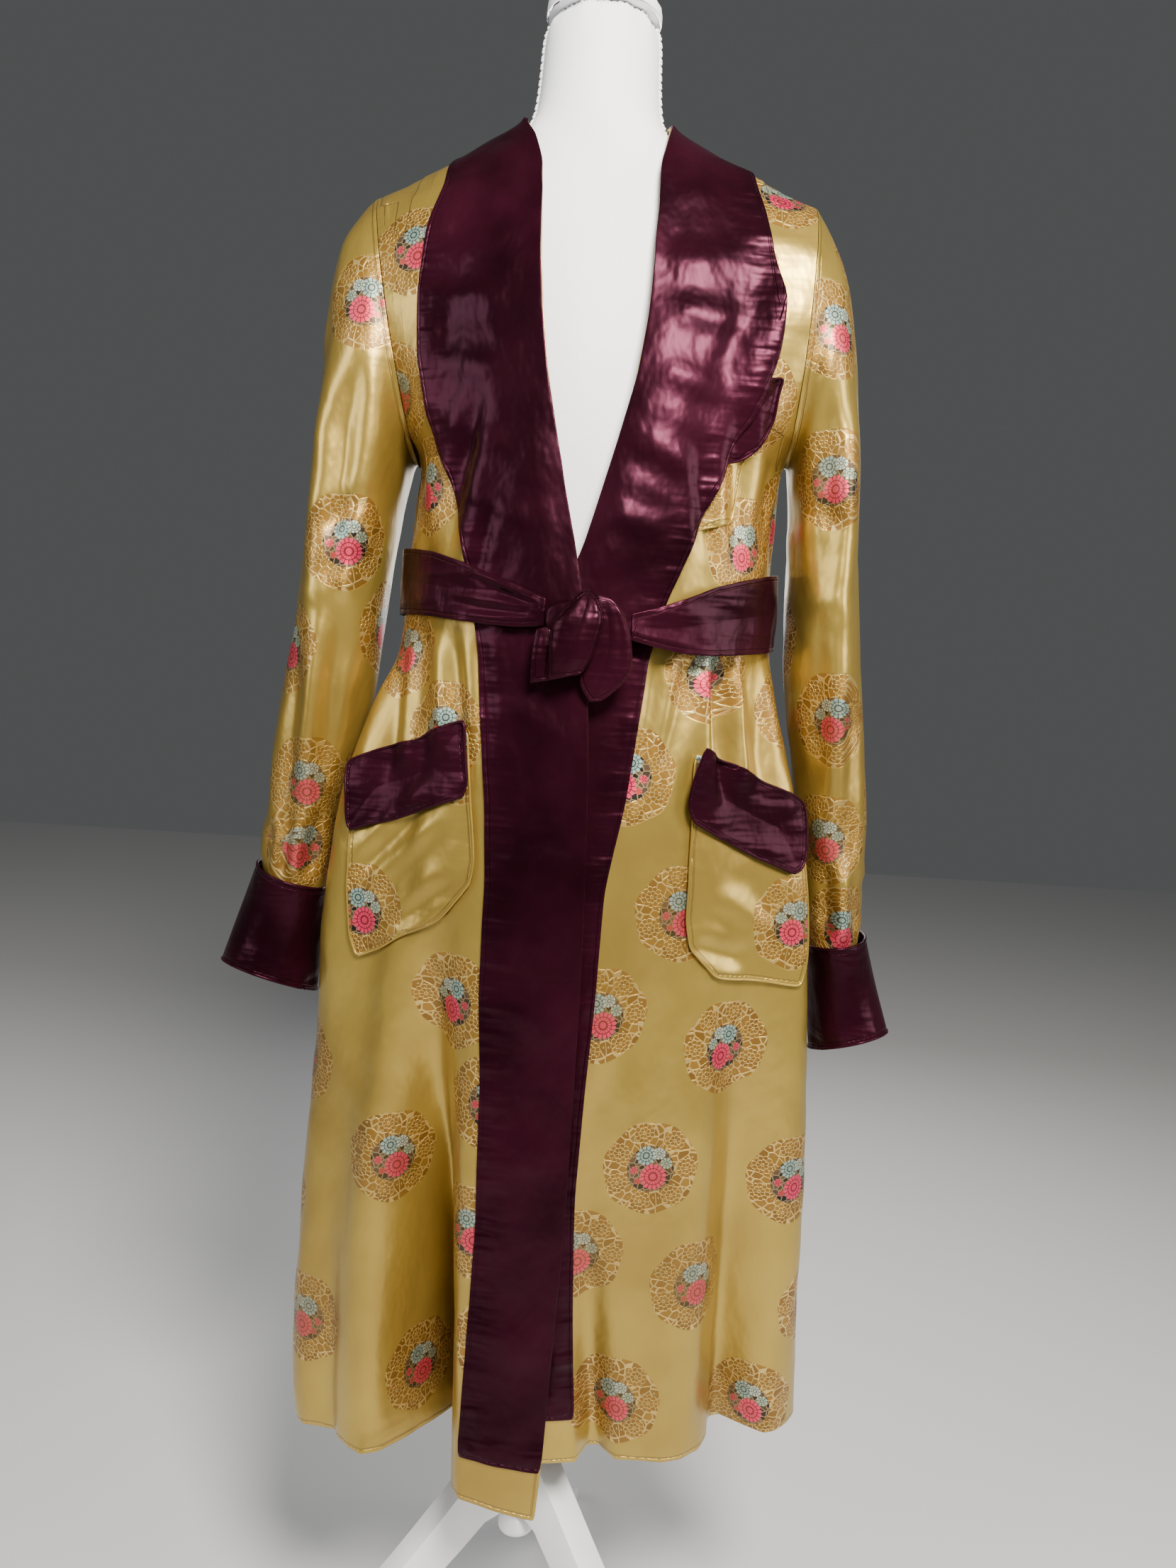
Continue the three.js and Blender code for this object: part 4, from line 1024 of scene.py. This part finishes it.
def follow(walk, piece):
    """The walk in short steps, each taken to the nearest point of the piece, then eased."""
    tree = tree_of([w.co for w in piece.data.vertices])
    spots = []
    for a, b in zip(walk, walk[1:] + walk[:1]):
        steps = max(1, round((b - a).length / STEP))
        spots += [tree.find(a.lerp(b, i / steps))[0] for i in range(steps)]
    for _ in range(3):
        spots = [(spots[i - 1] + spots[i] * 2 + spots[(i + 1) % len(spots)]) / 4
                 for i in range(len(spots))]
    return spots


def tube(name, runs, radius, sides=6):
    """Closed tubes along runs of points, as one mesh."""
    points, faces = [], []
    for spots in runs:
        first = len(points)
        n = len(spots)
        for i, spot in enumerate(spots):
            ahead = (spots[(i + 1) % n] - spots[i - 1]).normalized()
            other = Vector((0, 1, 0)) if abs(ahead.y) < 0.9 else Vector((1, 0, 0))
            side = ahead.cross(other).normalized()
            up = side.cross(ahead)
            for k in range(sides):
                turn = 2 * math.pi * k / sides
                points.append(spot + (side * math.cos(turn) + up * math.sin(turn)) * radius)
        for i in range(n):
            for k in range(sides):
                a, b = first + i * sides, first + (i + 1) % n * sides
                faces.append((a + k, a + (k + 1) % sides, b + (k + 1) % sides, b + k))
    piece = mesh_piece(name, points, faces)
    work = bmesh.new()
    work.from_mesh(piece.data)
    bmesh.ops.recalc_face_normals(work, faces=work.faces)
    write_back(work, piece.data)
    return piece


PIPING = table(
    "node radius slot",
    ("pocket_top_right", 0.0014, "burgundy_satin"),
    ("pocket_top_left", 0.0014, "burgundy_satin"),
    ("breast_pocket_top", 0.0013, "burgundy_satin"),
    ("cuff_right", 0.0016, "burgundy_satin"),
    ("cuff_left", 0.0016, "burgundy_satin"),
    ("pocket_right", 0.0012, "gold_brocade"),
    ("pocket_left", 0.0012, "gold_brocade"),
    ("breast_pocket", 0.0011, "gold_brocade"))
PIPING_LOOKS = {"burgundy_satin": burgundy, "gold_brocade": gold}
for row in PIPING:
    node = row["node"]
    runs = [follow(walk, finished[node]) for walk in outline(node)]
    piece = tube(node + "_piping", runs, row["radius"])
    mark_edge(piece, [])
    if row["slot"] == "gold_brocade":
        layer = piece.data.uv_layers.new(name="roundel")
        layer.data.foreach_set("uv", [OFF_ROUNDEL] * (2 * len(piece.data.loops)))
    finish_piece(piece, None, PIPING_LOOKS[row["slot"]])
    print(node, "piping runs:", [len(spots) for spots in runs])

# %% [markdown]
# ## Form and stand
# The form's cover is one smooth skin, so its solid is copied and subdivided. Cap, foot and legs
# have the right shape already: their solids are copied, and a bevel rounds the sharp edges. Under
# the garment the skin is drawn in by a few millimetres, so that a ripple of cloth never shows it.

# %%
DRAWN_IN = 0.004
BARE_ABOVE, COVERED_BELOW = 1590, 1535
for node, name, slot, material in (("form_torso", "form_body", "form_cover", jersey),
                                   ("form_pole", "form_pole_turned", "white_stand", paint)):
    finished[node] = finish_piece(smooth_piece(node, name, 2, 0.0), node, material)
body = points_of(finished["form_torso"])
place = (body - np.array(AXIS)) * 1000
out_way = place[:, :2] / np.maximum(np.linalg.norm(place[:, :2], axis=1), 1e-6)[:, None]
drawn = smooth(BARE_ABOVE, COVERED_BELOW, place[:, 2]) * DRAWN_IN
body[:, :2] -= out_way * drawn[:, None]
set_points(finished["form_torso"], body)


def rounded_piece(node, name, width=0.002):
    """A merged copy of a solid, whose sharp edges are rounded by a bevel."""
    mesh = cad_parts[node].data.copy()
    write_back(merged(mesh), mesh)
    mesh.materials.clear()
    piece = add_object(name, mesh)
    bevel = piece.modifiers.new("rounded edges", "BEVEL")
    bevel.width = width
    bevel.segments = 3
    bevel.limit_method = "ANGLE"
    bevel.angle_limit = math.radians(35)
    bevel.harden_normals = True
    return piece


finish_piece(rounded_piece("form_neck_cap", "neck_cap_rounded"), "form_neck_cap",
             jersey)
for node in ("form_pole_foot", "leg_right", "leg_left", "leg_back"):
    finish_piece(rounded_piece(node, node + "_rounded"), node, paint)
print("form and stand:", [finished[node].name for node in ("form_torso", "form_pole")],
      "and five rounded solids")

# %% [markdown]
# ## Braid on the neck
# A row of small white beads of twisted braid runs down each side of the neck and round under the
# cap. One bead is shaped and copied along the seams, which are found on the form's skin.

# %%
BEAD = 0.0025
BEAD_GAP = 3.6
SEAM_FOOT, CAP_SEAM = 1578, 1683
bpy.ops.object.select_all(action="DESELECT")
bpy.ops.mesh.primitive_ico_sphere_add(subdivisions=2, radius=BEAD)
bead = bpy.context.object
bpy.ops.object.mode_set(mode="EDIT")
bpy.ops.mesh.select_all(action="SELECT")
bpy.ops.transform.resize(value=(1.15, 1.0, 0.8))
bpy.ops.object.mode_set(mode="OBJECT")
bead_points = [w.co.copy() for w in bead.data.vertices]
bead_faces = [list(face.vertices) for face in bead.data.polygons]
bpy.data.objects.remove(bead)

skin = BVHTree.FromObject(finished["form_torso"], bpy.context.evaluated_depsgraph_get())
spots = []
for side in (-1, 1):
    for z in np.arange(SEAM_FOOT, CAP_SEAM, BEAD_GAP):
        hit, _, _, _ = skin.ray_cast(at(side * 200, -8, float(z)), Vector((-side, 0, 0)))
        spots.append(hit)
for turn in np.arange(0, 360, 4.0):
    out = Vector((math.cos(math.radians(turn)), math.sin(math.radians(turn)), 0))
    hit, _, _, _ = skin.ray_cast(at(0, 0, CAP_SEAM) + out * 0.2, -out)
    spots.append(hit)
points, faces = [], []
for i, spot in enumerate(spots):
    twist = Matrix.Rotation(math.radians(35 if i % 2 else -35), 3, "Y")
    faces += [[len(points) + k for k in face] for face in bead_faces]
    points += [spot + twist @ p for p in bead_points]
neck_braid = mesh_piece("neck_braid", points, faces)
for face in neck_braid.data.polygons:
    face.use_smooth = True
finish_piece(neck_braid, None, braid)
print("beads:", len(spots))

# %% [markdown]
# ## Floor
# A plain pale floor under the stand gives it something to stand on and a soft shadow. It isn't
# part of the object, so it is not attached to the pieces' root.

# %%
bpy.ops.object.select_all(action="DESELECT")
bpy.ops.mesh.primitive_plane_add(size=12, location=(0, 0, -0.001))
floor = bpy.context.object
floor.name = "floor"
floor_material, s, shader = new_material("pale floor")
shader.inputs["Base Color"].default_value = (0.72, 0.72, 0.72, 1)
shader.inputs["Roughness"].default_value = 0.7
floor.data.materials.append(floor_material)
print("floor staged at height (m):", floor.location.z)
